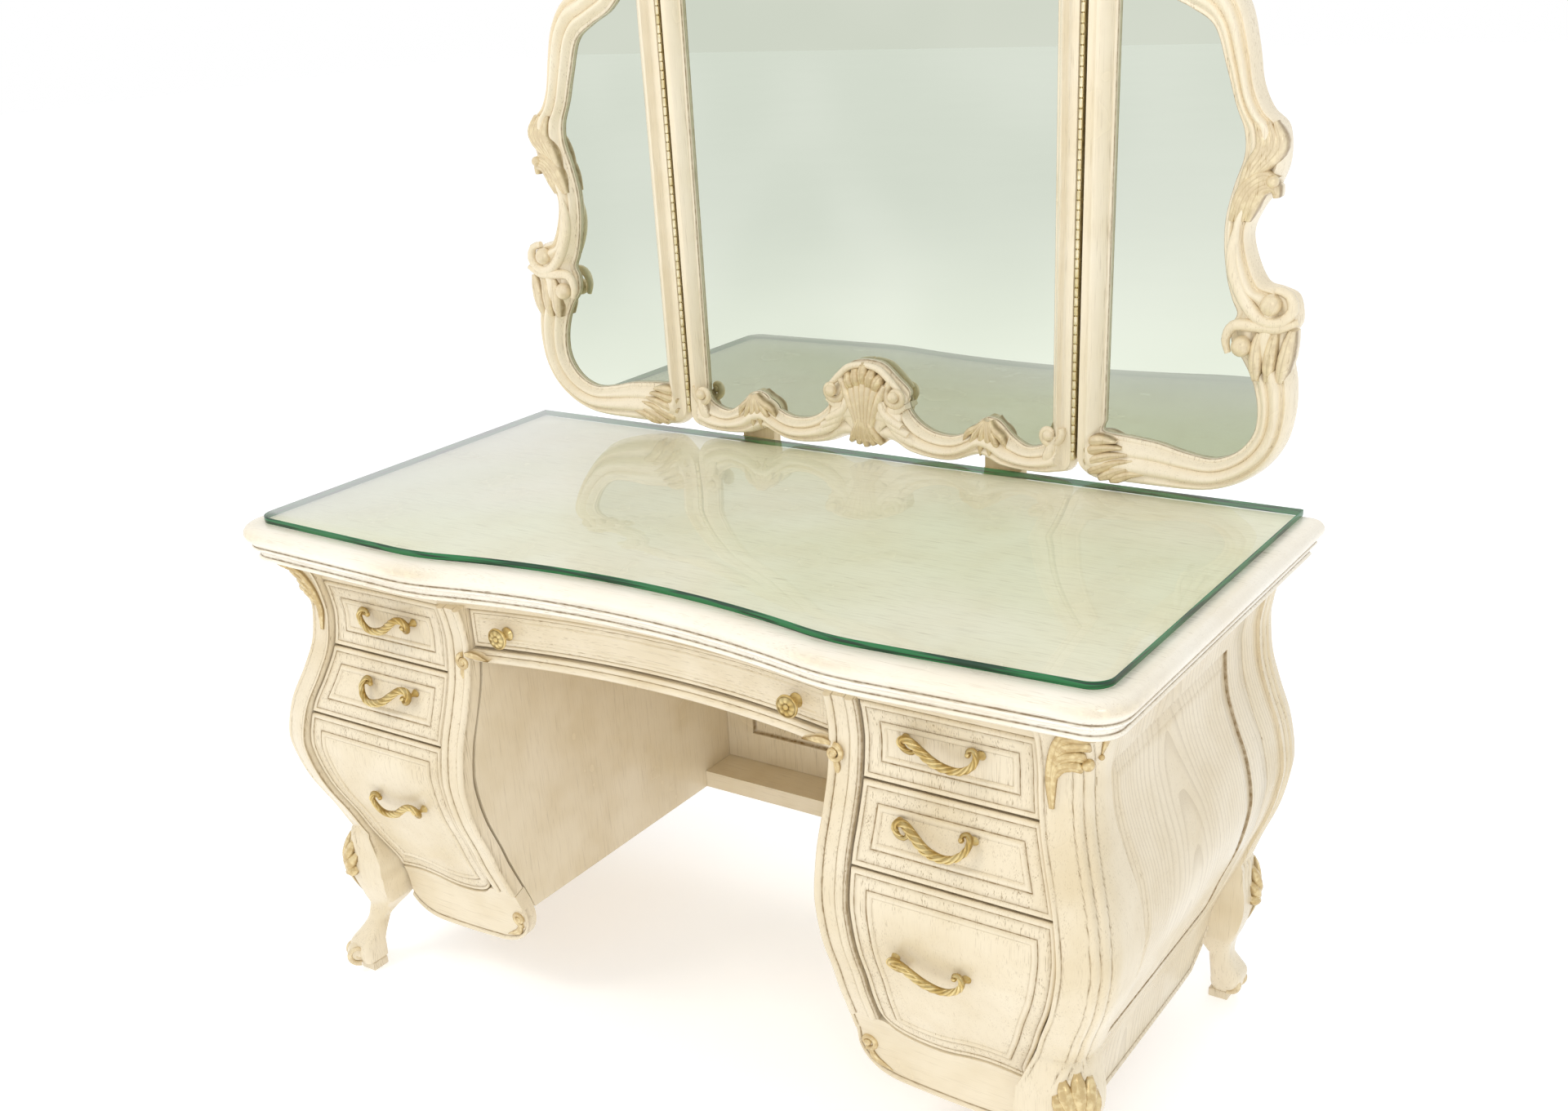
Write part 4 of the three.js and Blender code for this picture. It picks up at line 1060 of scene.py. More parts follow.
@dataclass
class PedestalDrawers:
    """The three moulded drawer fronts of each pedestal and their cast pulls."""

    top: float = 684.0
    seams: tuple[float, float] = (580.0, 475.0)
    gap: float = 2.5
    thickness: float = 20.0
    names: tuple[str, ...] = ("top", "middle", "bottom")
    pull_heights: tuple[float, ...] = (639.0, 535.0, 353.0)
    pull_x: float = 458.0
    # Middle line of a pull: outward along the drawer, height and distance from the face.
    pull_path: Points = (
        (-33, -2, 9), (-38, -7, 10), (-46, -4, 12), (-50, 6, 15), (-44, 14, 18), (-33, 13, 20),
        (-20, 4, 21), (-4, -7, 21), (14, -12, 21), (30, -12, 19), (43, -5, 16), (49, 6, 13),
        (45, 15, 10), (37, 13, 9), (36, 7, 9),
    )
    pull_radii: Sequence[float] = (
        2.8, 3.4, 4.2, 4.8, 5.2, 5.6, 5.8, 5.8, 5.4, 4.8, 4.4, 4.2, 3.8, 3.2, 2.8,
    )

    def face(self, index: int) -> Face:
        """Gives the elevation of one drawer front."""
        high = self.top if index == 0 else self.seams[index - 1] - self.gap / 2
        low = constant(self.seams[index] + self.gap / 2) if index < 2 else foot_line(0)
        return Face(constant(STILE_OUTER + 2), lambda z: post_inner(z) - 2, low, constant(high))

    def front(self, index: int) -> bpy.types.Object:
        """Shapes one drawer front."""
        offsets = [p[0] for p in LIPPED_EDGE[:-2]]
        x, z, distance = self.face(index).grid(offsets, 7, (4, 4, 22)[index])
        out, glaze = section(LIPPED_EDGE, distance)
        front = swelled(x, z, out, FRONT_DRAWER)
        back = swelled(x, z, np.full(x.shape, -self.thickness), FRONT_DRAWER)
        return board(f"{self.names[index]}_drawer_front_right", Sheet(front, glaze), back)

    def pull(self, index: int) -> bpy.types.Object:
        """Shapes one scrolled pull with its acanthus leaf."""
        height = self.pull_heights[index]
        face = FRONT_DRAWER + float(swell(height))
        slope = float(on_y(np.array(height)))

        def surface(u: np.ndarray, v: np.ndarray, out: np.ndarray) -> np.ndarray:
            """Places a point of the pull."""
            return place(self.pull_x + u, face + v * slope + out, height + v)

        line = resample(catmull(self.pull_path, 10), 76)
        radii = np.interp(np.linspace(0, 1, 76), np.linspace(0, 1, len(self.pull_radii)), self.pull_radii)
        carver = Carver(surface, "pull")
        carver.pieces.append(rod("pull_bar", surface(*line.T), radii, 12, (0.5, 0.0)))
        # Twisting leaf: ribs that start on one flank of the bar and wind over it to the other.
        along = unit(np.gradient(line[:, :2], axis=0))
        for start in range(4, 60, 5):
            part = slice(start, start + 14)
            turn = np.linspace(-1.5, 1.5, 14)
            reach = radii[part] * 0.92
            flank = np.sin(turn) * reach
            u = line[part, 0] - along[part, 1] * flank
            v = line[part, 1] + along[part, 0] * flank
            points = surface(u, v, line[part, 2] + np.cos(turn) * reach)
            thick = 1.5 * np.sin(np.linspace(0.3, math.pi - 0.2, 14)) + 0.3
            carver.pieces.append(rod("pull_leaf", points, thick, 8, (0.0, 0.0)))
        for place_of in (3, -4):
            u, v, out = self.pull_path[place_of]
            post = [surface(np.array(u), np.array(v), np.array(float(d))) for d in np.linspace(1.2, out, 6)]
            carver.pieces.append(rod("pull_post", post, [6.5, 5.0, 3.4, 2.8, 2.8, 2.8], 12, (0.3, 0.0)))
        for place_of, radius in ((0, 4.6), (-1, 3.8)):
            u, v, out = self.pull_path[place_of]
            carver.knob((u, v), radius, out, gild=0.0)
        return join(f"{self.names[index]}_pull_right", carver.pieces)

    def build(self, finishes: Finishes) -> None:
        """Builds both pedestals' drawer fronts and pulls."""
        for index, name in enumerate(self.names):
            front, pull = self.front(index), self.pull(index)
            sides = {
                "right": (front, pull),
                "left": (
                    mirrored_copy(front, f"{name}_drawer_front_left"),
                    mirrored_copy(pull, f"{name}_pull_left"),
                ),
            }
            for side, (panel, handle) in sides.items():
                body = f"drawer_{name}_{side}"
                fit(panel, finishes.paint_up, body, PAINT, f"drawer_front_{name}_{side}")
                fit(handle, finishes.brass, body, "brass", f"drawer_handle_{name}_{side}")


# ---- Pedestal carcass --------------------------------------------------------------------------
def splay(height: Any) -> np.ndarray:
    """Gives how much further a front leg reaches forward than sideways."""
    return 41 * np.maximum(0, 1 - np.asarray(height, float) / 105) ** 0.8


LEG_INNER = np.array(
    [(-41, 14), (-42, 30), (-43, 60), (-45, 84), (-58, 104), (-78, 128), (-87, 183)], float
)


@dataclass
class Leg:
    """A moulded corner post that runs down into a cabriole leg with a scrolled toe."""

    front: bool
    step: float = 7.0
    columns: int = 84
    post_back: float = 556.0
    ankle: float = 84.0
    calf: float = 120.0
    inner_top: float = 183.0
    fade_low: float = 196.0

    def outline(self, z: float) -> np.ndarray:
        """Gives the sharp-cornered section at a height: outer x, outer and inner depth, inner x."""
        out = float(leg_swell(z))
        inner = float(np.interp(z, LEG_INNER[:, 1], LEG_INNER[:, 0]))
        inner_x = float(post_inner(z)) if z > self.inner_top else SIDE + inner
        if self.front:
            reach = float(splay(z))
            back = self.post_back if z > self.calf else min(FRONT_POST + inner + reach, 600.0)
            if self.ankle < z <= self.calf:
                share = float(ease((z - self.ankle) / (self.calf - self.ankle)))
                low = FRONT_POST - 45 + float(splay(self.ankle))
                back = low + (self.post_back - low) * share
            return np.array([SIDE + out, FRONT_POST + out + reach, back, inner_x])
        outer = float(np.interp(z, [26, 48, 64, 82, 118, 165], [2, 0, 5, 13, 10, 0]))
        heel = float(np.interp(z, [14, 30, 60, 84, 120], [40, 46, 52, 54, 64]))
        return np.array([SIDE + out, outer, heel, inner_x])

    def rounding(self, z: float) -> tuple[float, float]:
        """Gives the outer and the inner corner radius at a height."""
        knee, full = (32.0, 50.0) if self.front else (17.0, 18.0)
        outer = 16 + (knee - 16) * float(ease((z - 96) / 50)) + (full - knee) * float(ease((z - 205) / 60))
        inner = 0.6 + 11.4 * float(ease((150 - z) / 50))
        return outer, inner

    def contour(self, z: float) -> tuple[np.ndarray, np.ndarray]:
        """Gives the section at a height as x and depth, and each point's place along its face.

        The place is the distance from the drawer edge on a front post and from the side panel on
        a back post, and -1 on the hidden sides.
        """
        outer_x, outer_d, inner_d, inner_x = self.outline(z)
        big, small = self.rounding(z)
        sign = 1 if self.front else -1
        big = min(big, abs(outer_d - inner_d) - small - 1, outer_x - inner_x - small - 1)
        corners = [
            (inner_x, outer_d, small), (outer_x, outer_d, big), (outer_x, inner_d, small),
            (inner_x, inner_d, small),
        ]
        points = []
        angles = [(180, 90), (90, 0), (0, -90), (-90, -180)]
        for (cx, cd, radius), (start, end) in zip(corners, angles):
            middle_x = cx + radius * (1 if cx == inner_x else -1)
            middle_d = cd - sign * radius * (1 if cd == outer_d else -1)
            for angle in np.radians(np.linspace(start, end, 13)):
                points.append(
                    (middle_x + radius * math.cos(angle), middle_d + sign * radius * math.sin(angle))
                )
        loop = np.array(points)
        shown = resample(loop[6:33], self.columns)
        hidden = resample(np.vstack([loop[32:], loop[:7]]), 26)[1:-1]
        run = np.concatenate([[0], np.cumsum(np.linalg.norm(np.diff(shown, axis=0), axis=1))])
        if not self.front:
            run = run[-1] - run
        return np.vstack([shown, hidden]), np.concatenate([run, np.full(len(hidden), -1.0)])

    def heights(self) -> np.ndarray:
        """Gives the heights of the sections, from the underside of the top to the toe."""
        upper = np.arange(TOP_UNDERSIDE - 0.4, 130, -self.step)
        return np.concatenate([upper, np.arange(128, 14, -4.0), [14.0]])

    def build(self, name: str) -> bpy.types.Object:
        """Shapes the post and its leg."""
        table = POST_SECTION if self.front else BACK_POST_SECTION
        rings, glazes, gilding_and_painted_highlight = [], [], []
        for z in self.heights():
            loop, run = self.contour(float(z))
            around = unit(np.roll(loop, -1, 0) - np.roll(loop, 1, 0))
            normal = np.stack([-around[:, 1], around[:, 0]], 1) * (1 if self.front else -1)
            normal *= np.sign((normal * (loop - loop.mean(0))).sum(1).mean()) or 1
            out, glaze = section(table, run)
            fade = float(ease((z - self.fade_low) / 40))
            keep = np.where(run >= 0, fade, 0.0)
            moved = loop + normal * (out * keep)[:, None]
            rings.append(place(moved[:, 0], moved[:, 1], float(z)))
            glazes.append(glaze * keep + 0.1 * (z < 110))
            gilding_and_painted_highlight.append(np.zeros(len(loop)))
        post = sweep(f"{name}_post", Sheet(np.array(rings), np.array(glazes), np.array(gilding_and_painted_highlight)), degrees=50)
        return join(name, [post, *self.foot(), *self.carvings()])

    def surface(self, s: np.ndarray, z: np.ndarray, lift: np.ndarray) -> np.ndarray:
        """Places a carving: distance from the outer corner's diagonal along the section, height and lift."""
        s, z, lift = (np.asarray(v, float) for v in (s, z, lift))
        shape = np.broadcast(s, z, lift).shape
        s, z, lift = (np.broadcast_to(v, shape).ravel() for v in (s, z, lift))
        x, depth = np.empty(s.shape), np.empty(s.shape)
        for k in range(len(s)):
            outer_x, outer_d, _, _ = self.outline(float(z[k]))
            radius = self.rounding(float(z[k]))[0]
            sign = 1 if self.front else -1
            half = radius * math.pi / 4
            angle = math.radians(45) - float(np.clip(s[k], -half, half)) / radius
            past = s[k] - float(np.clip(s[k], -half, half))
            normal = (math.cos(angle), math.sin(angle))
            along = (math.sin(angle), -math.cos(angle))
            x[k] = outer_x - radius + (radius + lift[k]) * normal[0] + past * along[0]
            depth[k] = outer_d - sign * radius + sign * ((radius + lift[k]) * normal[1] + past * along[1])
        slope = on_y(np.clip(z, 150, 716)) * (z > 150)
        return place(x, depth, z - 0.6 * lift * slope).reshape(*shape, 3)

    def foot(self) -> list[bpy.types.Object]:
        """Shapes the block pad and the scrolled toe."""
        sign = 1 if self.front else 0
        depth = FRONT_POST + float(splay(14)) - 27.5 if self.front else 26.0
        clear_selection()
        at = place(SIDE - 27.5, depth, 7.2)
        bpy.ops.mesh.primitive_cube_add(size=1, location=spot(at), scale=(0.031, 0.031, 0.0144))
        pad = applied("pad")
        in_edit(lambda: bpy.ops.mesh.bevel(offset=0.002, segments=2, affect="EDGES"))
        write_attribute(pad, "glaze", np.full(len(pad.data.vertices), 0.45))
        write_attribute(pad, "gild", np.zeros(len(pad.data.vertices)))
        turn = math.atan2(1.25 * sign, 1.0)
        ahead = np.array([math.cos(turn), math.sin(turn)])
        across = np.array([-ahead[1], ahead[0]])
        toe = np.array(
            [SIDE - 13.0, depth + 18.0 * sign if self.front else 26.0]
        ) + ahead * (1.0 if self.front else 2.0)
        parts = [pad]
        # The toe rolls up and back on itself; a whorl shows on each side of the roll.
        angles = np.radians(np.linspace(-100, 330, 30))
        reach = np.linspace(17.0, 4.0, 30)
        for side in (-1, 1):
            centre = toe + across * side * 13.0
            path = [place(*(centre + ahead * r * math.cos(a)), 33 + r * math.sin(a)) for a, r in zip(angles, reach)]
            parts.append(rod("toe_whorl", path, np.linspace(4.6, 2.6, 30), 10, (0.2, 0.55)))
        core = [place(*(toe + across * w), 33.0) for w in np.linspace(-15, 15, 7)]
        parts.append(rod("toe_roll", core, [9.0, 13.5, 16.0, 16.5, 16.0, 13.5, 9.0], 18, (0.1, 0.12)))
        heel = [place(*(toe - ahead * d), 32.0 - 0.25 * d) for d in (0, 10, 20, 30)]
        parts.append(rod("toe_bridge", heel, [15.5, 16.0, 15.0, 12.0], 16, (0.05, 0.0)))
        return [smooth(part, 60) for part in parts]

    def carvings(self) -> list[bpy.types.Object]:
        """Carves the knee shell and, on a front post, the acanthus at its head."""
        carver = Carver(self.surface, "leg_carving")
        lobes = 7
        for k in range(lobes):
            share = k / (lobes - 1) * 2 - 1
            angle = math.radians(78 * share)
            length = 66 - 16 * abs(share) ** 1.5
            tip = (math.sin(angle) * length * 0.66, 176 + math.cos(angle) * length)
            middle = (math.sin(angle) * length * 0.42, 176 + math.cos(angle) * length * 0.5)
            carver.leaf(
                [(0, 172), middle, tip], (2.4, 4.0, 5.8, 7.8, 9.6, 10.2, 8.6, 4.6),
                (5.0, 7.0, 8.6, 10.0, 11.0, 10.6, 8.6, 3.0), ridge=-0.6, sink=3,
            )
        carver.scroll((0, 168), 9.0, 1.1, 90, 3.4, lift=6.5)
        for side in (-1, 1):
            carver.leaf(
                [(3 * side, 172), (8 * side, 156), (5 * side, 134)], (3.5, 6.0, 5.0, 3.0, 0.5),
                (4.0, 4.5, 3.0, 2.0, 0.5), ridge=0.6, gild=0.6,
            )
        if self.front:
            self.carve_head(carver)
        return carver.pieces

    def carve_head(self, carver: Carver) -> None:
        """Carves the acanthus leaf at the head of a front post."""
        edge = -40.0
        carver.leaf(
            [(edge + 6, 712), (edge + 5, 690), (edge + 4, 655), (edge + 4, 604)],
            (6.0, 8.0, 8.5, 8.0, 6.0, 3.0), (4.0, 5.0, 5.0, 4.5, 3.5, 1.5), ridge=0.9,
        )
        for k, start in enumerate((688, 672, 656, 642)):
            reach = 40 - 3 * k
            carver.leaf(
                [
                    (edge + 7, start), (edge + 14, start + 17), (edge + 12 + 0.5 * reach, start + 20),
                    (edge + 6 + reach, start + 9),
                ],
                (3.5, 6.0, 8.2, 8.6, 7.0, 2.0), (4.0, 5.5, 7.5, 8.0, 6.5, 2.5), ridge=0.9,
            )
        carver.knob((edge + 42, 663), 8.0, 3.0)
        carver.leaf(
            [(19, 707), (22, 690), (20, 668)], (4.0, 6.0, 4.0, 0.8), (2.0, 3.5, 3.0, 1.0), ridge=0.6,
        )
        carver.knob((19, 668), 3.6, 2.0)


@dataclass
class Pedestals:
    """Legs, side panels, stiles and aprons of both pedestals."""

    side_setback: float = 5.0
    panel_thickness: float = 18.0
    field_low: float = 236.0
    field_high: float = 637.0
    field_back: float = 176.0
    field_front: float = 550.0
    back_edge: float = 64.4
    front_edge: float = 555.6
    foot_joint: float = 196.0
    post_joint: float = 118.0
    # Across the sunk panel's border, from the frame inward: distance, outward, glaze.
    field_section: Points = (
        (-60, 0.0, 0.0), (-9, 0.0, 0.03), (-3, 0.0, 0.15), (-1.4, 0.1, 0.3), (-0.4, -0.9, 0.9),
        (0.5, -3.6, 1.0),
        (2, -4.0, 0.6), (6, -3.4, 0.15), (12, -2.2, 0.06), (17, -1.3, 0.06), (19, -1.0, 0.4),
        (20.5, -0.2, 0.1),
        (30, 0.0, 0.0), (400, 0.0, 0.0),
    )
    # Across a stile, from the kneehole: x, outward, glaze.
    stile_section: Points = (
        (300, -2.0, 0.6), (301, 0.8, 0.2), (303.5, 3.0, 0.0), (307, 3.4, 0.0), (310, 1.8, 0.1),
        (311.6, -1.2, 0.95), (313, -0.6, 0.4), (317, -0.9, 0.05), (323, -1.2, 0.03), (328, -0.8, 0.08),
        (330, -1.6, 0.9), (331.6, 0.8, 0.2), (335, 2.4, 0.0), (338.6, 2.0, 0.0), (341.4, 0.4, 0.3),
        (342.6, -1.0, 0.9), (344, -0.8, 0.5), (346, -2.4, 0.8),
    )

    def side_panel(self) -> bpy.types.Object:
        """Shapes a side: frame, sunk swelling panel and shaped lower edge."""
        fine = np.array([-9, -3, -1.4, -0.4, 0.5, 2, 6, 12, 17, 19, 20.5, 30])
        groove = np.array([-2.4, -0.8, 0, 0.8, 2.4])
        depth = np.concatenate([
            [self.back_edge, 66, 84], self.post_joint + groove, self.field_back + fine,
            np.linspace(230, 500, 22),
            self.field_front - fine[1:][::-1], [self.front_edge],
        ])
        depth = np.sort(depth)
        high = TOP_UNDERSIDE - 0.4
        low_part = np.array([0, 1.0, 2.4, 4.4, 6.4, 8.0, 9.4, 12, 40, 80])
        upper = np.sort(np.concatenate([
            self.foot_joint + groove, [206, 216], self.field_low + fine, np.linspace(275, 600, 30),
            self.field_high - fine[::-1],
            [660, 672, 684, 694, 704, high],
        ]))
        ends = np.minimum(depth - self.back_edge, self.front_edge - depth)
        foot = 82 + 54 * np.clip(1 - ends / 70, 0, 1) ** 2
        lower = foot[:, None] + low_part[None, :] * np.minimum(1, (188 - foot[:, None]) / 106)
        z = np.concatenate([lower, np.broadcast_to(upper, (len(depth), len(upper)))], axis=1)
        d = np.broadcast_to(depth[:, None], z.shape)
        inside = np.minimum(
            np.minimum(d - self.field_back, self.field_front - d),
            np.minimum(z - self.field_low, self.field_high - z)
        )
        out, glaze = section(self.field_section, inside)
        bead = np.zeros_like(z)
        bead[:, : len(low_part)] = np.interp(
            low_part, [0, 1, 4.4, 8.0, 9.4, 12], [-1.5, 1.0, 2.4, 0.6, -0.9, 0],
        )
        tone = np.zeros_like(z)
        tone[:, : len(low_part)] = np.interp(
            low_part, [0, 1, 2.4, 6.4, 8.0, 9.4, 12, 40], [0.6, 0.2, 0, 0, 0.3, 0.9, 0.2, 0],
        )
        across = np.exp(-((z - self.foot_joint) ** 2))
        line = across + np.exp(-((d - self.post_joint) ** 2)) * (z > self.foot_joint)
        out = out + bead - 1.3 * line
        glaze = np.clip(glaze + tone + 0.9 * line, 0, 1)
        slope = on_y(z)
        length = np.sqrt(1 + slope**2)
        waist = SIDE - self.side_setback
        front = place(waist + swell(z) + out / length, d, z - out * slope / length)
        back = place(waist + swell(z) - self.panel_thickness, d, z)
        return board("side_panel_right_face", Sheet(front, glaze), back)

    def stile(self) -> bpy.types.Object:
        """Shapes a beaded stile between the drawers and the kneehole."""
        table = np.asarray(self.stile_section, float)
        z = np.linspace(207.4, 686, 64)
        x = np.repeat(table[:, :1], len(z), axis=1)
        heights = np.broadcast_to(z, x.shape)
        out = np.broadcast_to(table[:, 1:2], x.shape)
        front = swelled(x, heights, out, FRONT_STILE)
        back = swelled(x, heights, np.full(x.shape, -20.0), FRONT_STILE)
        return board("inner_stile_right_face", Sheet(front, np.broadcast_to(table[:, 2:], x.shape)), back)

    def apron(self) -> bpy.types.Object:
        """Shapes the apron under the bottom drawer, with its bead and end scroll."""
        t = np.linspace(0, 1, 12)[:, None]

        def bend(a: Points, b: Points, c: Points) -> np.ndarray:
            """Draws a quadratic curve."""
            a, b, c = (np.asarray(p, float) for p in (a, b, c))
            return (1 - t) ** 2 * a + 2 * t * (1 - t) * b + t**2 * c

        foot = np.vstack(
            [
                bend((300, 158), (306, 104), (362, 97)), bend((362, 97), (440, 91), (500, 92))[1:],
                bend((500, 92), (540, 94), (557, 122))[1:],
            ]
        )
        head = foot_line(-2.5)
        face = Face(
            constant(300.4), constant(557), lambda x: np.interp(x, foot[:, 0], foot[:, 1]),
            lambda x: np.where(x < 352, 206.6, np.minimum(head(x), 206.6)),
        )
        x, z, _ = face.grid([0, 0.8, 2, 3.6, 5.4, 7.2, 8.6, 10, 13, 18], 26, 5)
        over = z - face.low(x)
        over = np.minimum(over, 1.6 * (x - 300.4) + 3 * (z > 175))
        out = np.interp(
            over, [0, 0.8, 2, 3.6, 5.4, 7.2, 8.6, 10, 13],
            [-2.2, 0.2, 2.0, 2.8, 2.2, 0.6, -1.2, -0.6, 0],
        )
        glaze = np.interp(
            over, [0, 0.8, 2, 5.4, 7.2, 8.6, 10, 13, 20], [0.6, 0.2, 0, 0, 0.3, 0.95, 0.5, 0.15, 0],
        )
        waist = FRONT_DRAWER + 2
        front = swelled(x, z, out, waist)
        back = swelled(x, z, np.full(x.shape, -20.0), waist)
        made = board("apron_board", Sheet(front, glaze), back)

        def surface(u: np.ndarray, v: np.ndarray, lift: np.ndarray) -> np.ndarray:
            """Places a carving on the apron."""
            return swelled(u, v, lift, waist)

        carver = Carver(surface, "apron_scroll", gild=0.85)
        carver.scroll((317, 152), 13.0, 1.4, 250, 4.2, sense=1, lift=3.0)
        carver.leaf(
            [(318, 140), (327, 124), (352, 112)], (4.0, 6.0, 4.0, 0.6), (3.0, 4.0, 3.0, 0.8),
            ridge=0.7,
        )
        return join("apron_right", [made, *carver.pieces])

    def build(self, finishes: Finishes) -> None:
        """Builds both pedestals."""
        rights = [
            (Leg(True).build("front_leg_right"), finishes.paint_up, "leg_post_front"),
            (Leg(False).build("back_leg_right"), finishes.paint_up, "leg_post_back"),
            (self.side_panel(), finishes.paint_figured, "side_panel"),
            (self.stile(), finishes.paint_up, "inner_stile"),
            (self.apron(), finishes.paint_across, "front_apron"),
        ]
        for made, finish, node in rights:
            copy = mirrored_copy(made, made.name.replace("right", "left"))
            fit(made, finish, "desk", PAINT, f"{node}_right")
            fit(copy, finish, "desk", PAINT, f"{node}_left")


# ---- Kneehole ----------------------------------------------------------------------------------
@dataclass
class Kneehole:
    """Centre drawer, arched rail and framed panel of the kneehole."""

    half: float = 298.0
    drawer_depth: float = 610.0
    drawer_low: float = 627.0
    drawer_high: float = 684.0
    knob_x: float = 241.0
    knob_z: float = 652.0
    lip: Points = (
        (0, -3.2, 0.75), (0.5, -1.6, 0.3), (1.6, 0.1, 0), (3.0, 0.8, 0), (4.4, 0.6, 0.05), (5.4, -0.1, 0.3),
        (6.2, -1.0, 0.9), (7.2, -0.8, 0.4), (9, -0.5, 0.14), (11, -0.5, 0.2), (12, -0.8, 0.45),
        (13, -0.2, 0.2),
        (14.4, 0.4, 0), (16, 0.3, 0), (17.2, -0.2, 0.1), (18, -0.4, 0.25), (19.4, -0.3, 0.15),
        (22, -0.2, 0.08), (40, 0, 0),
    )

    def bowed(self, x: np.ndarray, z: np.ndarray, out: np.ndarray, depth: float) -> np.ndarray:
        """Places points on the bowed front."""
        return place(x, depth - bow_rise(x) + out, z)

    def drawer(self) -> bpy.types.Object:
        """Shapes the bowed drawer front."""
        face = Face(
            constant(-self.half), constant(self.half), constant(self.drawer_low),
            constant(self.drawer_high),
        )
        x, z, distance = face.grid([p[0] for p in self.lip[:-1]], 34, 2)
        out, glaze = section(self.lip, distance)
        front = self.bowed(x, z, out, self.drawer_depth)
        back = self.bowed(x, z, np.full(x.shape, -20.0), self.drawer_depth)
        return board("centre_drawer_face", Sheet(front, glaze), back)

    def knob(self) -> bpy.types.Object:
        """Shapes a round knob with a rosette."""
        # From the face out: radius, distance, ripple of the eight petals and glaze.
        profile = [
            (10.14, 0.0, 0, 0.4), (9.88, 1.2, 0, 0.2), (6.5, 3.0, 0, 0.3), (5.59, 7.0, 0, 0.2),
            (5.98, 12.0, 0, 0.2), (9.75, 15.5, 0, 0.1), (14.3, 18.0, 0, 0.0),
            (15.86, 20.5, 0, 0.0), (15.47, 22.4, 0, 0.0), (14.17, 23.4, 0, 0.5),
            (13.0, 22.6, 0.2, 0.9), (11.96, 23.2, 0.5, 0.4), (9.88, 24.4, 0.8, 0.1),
            (7.54, 25.0, 0.7, 0.1), (5.46, 24.4, 0.4, 0.6), (4.29, 23.9, 0.1, 0.9),
            (3.77, 24.8, 0, 0.2), (2.6, 25.8, 0, 0.0), (1.17, 26.2, 0, 0.0),
            (0.26, 26.3, 0, 0.0),
        ]
        turn = np.linspace(0, 2 * math.pi, 48, endpoint=False)
        start = self.drawer_depth - float(bow_rise(self.knob_x)) + 0.6
        rings, glazes = [], []
        for radius, out, ripple, glaze in profile:
            wave = ripple * np.cos(8 * turn)
            rings.append(place(
                self.knob_x + radius * np.cos(turn), start + out + wave, self.knob_z + radius * np.sin(turn)
            ))
            glazes.append(np.clip(glaze - 0.5 * wave, 0, 1))
        return sweep("centre_knob_right_cast", Sheet(np.array(rings), np.array(glazes)), degrees=50)

    def arch_rail(self) -> bpy.types.Object:
        """Shapes the moulded rail under the centre drawer and its scrolled ends."""
        z_out = [
            (604.2, -2.0, 0.6), (605, 0.4, 0.2), (607, 2.6, 0), (610, 3.4, 0), (613, 2.6, 0),
            (615, 0.6, 0.3),
            (616, -0.9, 0.9), (617.2, 0.2, 0.3), (619.6, 1.6, 0), (622, 1.4, 0), (623.4, 0.2, 0.2),
            (623.8, -1.6, 0.6),
        ]
        table = np.asarray(z_out, float)
        x = np.repeat(np.linspace(-299.4, 299.4, 61)[:, None], len(table), axis=1)
        z = np.broadcast_to(table[:, 0], x.shape)
        front = self.bowed(x, z, np.broadcast_to(table[:, 1], x.shape), 612.0)
        back = self.bowed(x, z, np.full(x.shape, -26.0), 612.0)
        rail = board("arch_rail_moulding", Sheet(front, np.broadcast_to(table[:, 2], x.shape)), back)

        def surface(u: np.ndarray, v: np.ndarray, lift: np.ndarray) -> np.ndarray:
            """Places a carving at the end of the rail, proud of the stile."""
            return place(u, 616.0 + lift, v)

        carver = Carver(surface, "rail_scroll", gild=0.9)
        parts = [rail]
        for side in (-1, 1):
            sense = -side
            carver.scroll((310 * side, 606), 11.5, 1.5, 90, 4.0, sense=sense, lift=2.5)
            carver.leaf(
                [(305 * side, 618), (290 * side, 619), (262 * side, 615)], (3.0, 5.0, 4.5, 2.5, 0.6),
                (1.0, 2.0, 0.5, -2.0, -3.0), sink=10, ridge=0.5,
            )
            carver.leaf(
                [(310 * side, 598), (314 * side, 586), (309 * side, 572)], (4.5, 5.0, 3.5, 0.6),
                (1.5, 2.5, 1.5, 0.3), ridge=0.6,
            )
        return join("arch_rail", parts + carver.pieces)

    def modesty(self) -> bpy.types.Object:
        """Shapes the framed panel at the back of the kneehole."""
        fine = np.array([-6, -2, -0.8, 0.4, 2, 6, 10, 14, 16])
        fields = [(-244.6, -27.5), (27.5, 244.6)]
        low, high = 255.0, 599.0
        across = [np.concatenate([a + fine, b - fine, np.linspace(a + 30, b - 30, 6)]) for a, b in fields]
        x = np.sort(np.concatenate([[-299.4, 299.4, 0.0], *across]))
        z = np.sort(
            np.concatenate([[200.6, 715.4, 660.0], low + fine, high - fine, np.linspace(290, 560, 7)])
        )
        grid_x, grid_z = np.meshgrid(x, z, indexing="ij")
        inside = np.full(grid_x.shape, -100.0)
        for a, b in fields:
            one = np.minimum(np.minimum(grid_x - a, b - grid_x), np.minimum(grid_z - low, high - grid_z))
            inside = np.maximum(inside, one)
        out = np.interp(
            inside, [-6, -2, -0.8, 0.4, 2, 6, 10, 14, 16],
            [0, 0.6, 0.4, -4, -5.5, -6, -6.5, -6.8, -7],
        )
        glaze = np.interp(inside, [-9, -2, -0.8, 0.4, 2, 6, 14, 30], [0, 0.3, 0.4, 1, 0.8, 0.4, 0.3, 0.1])
        front = place(grid_x, 27 + out, grid_z)
        return board("modesty_panel_framed", Sheet(front, glaze), place(grid_x, 1.0, grid_z))

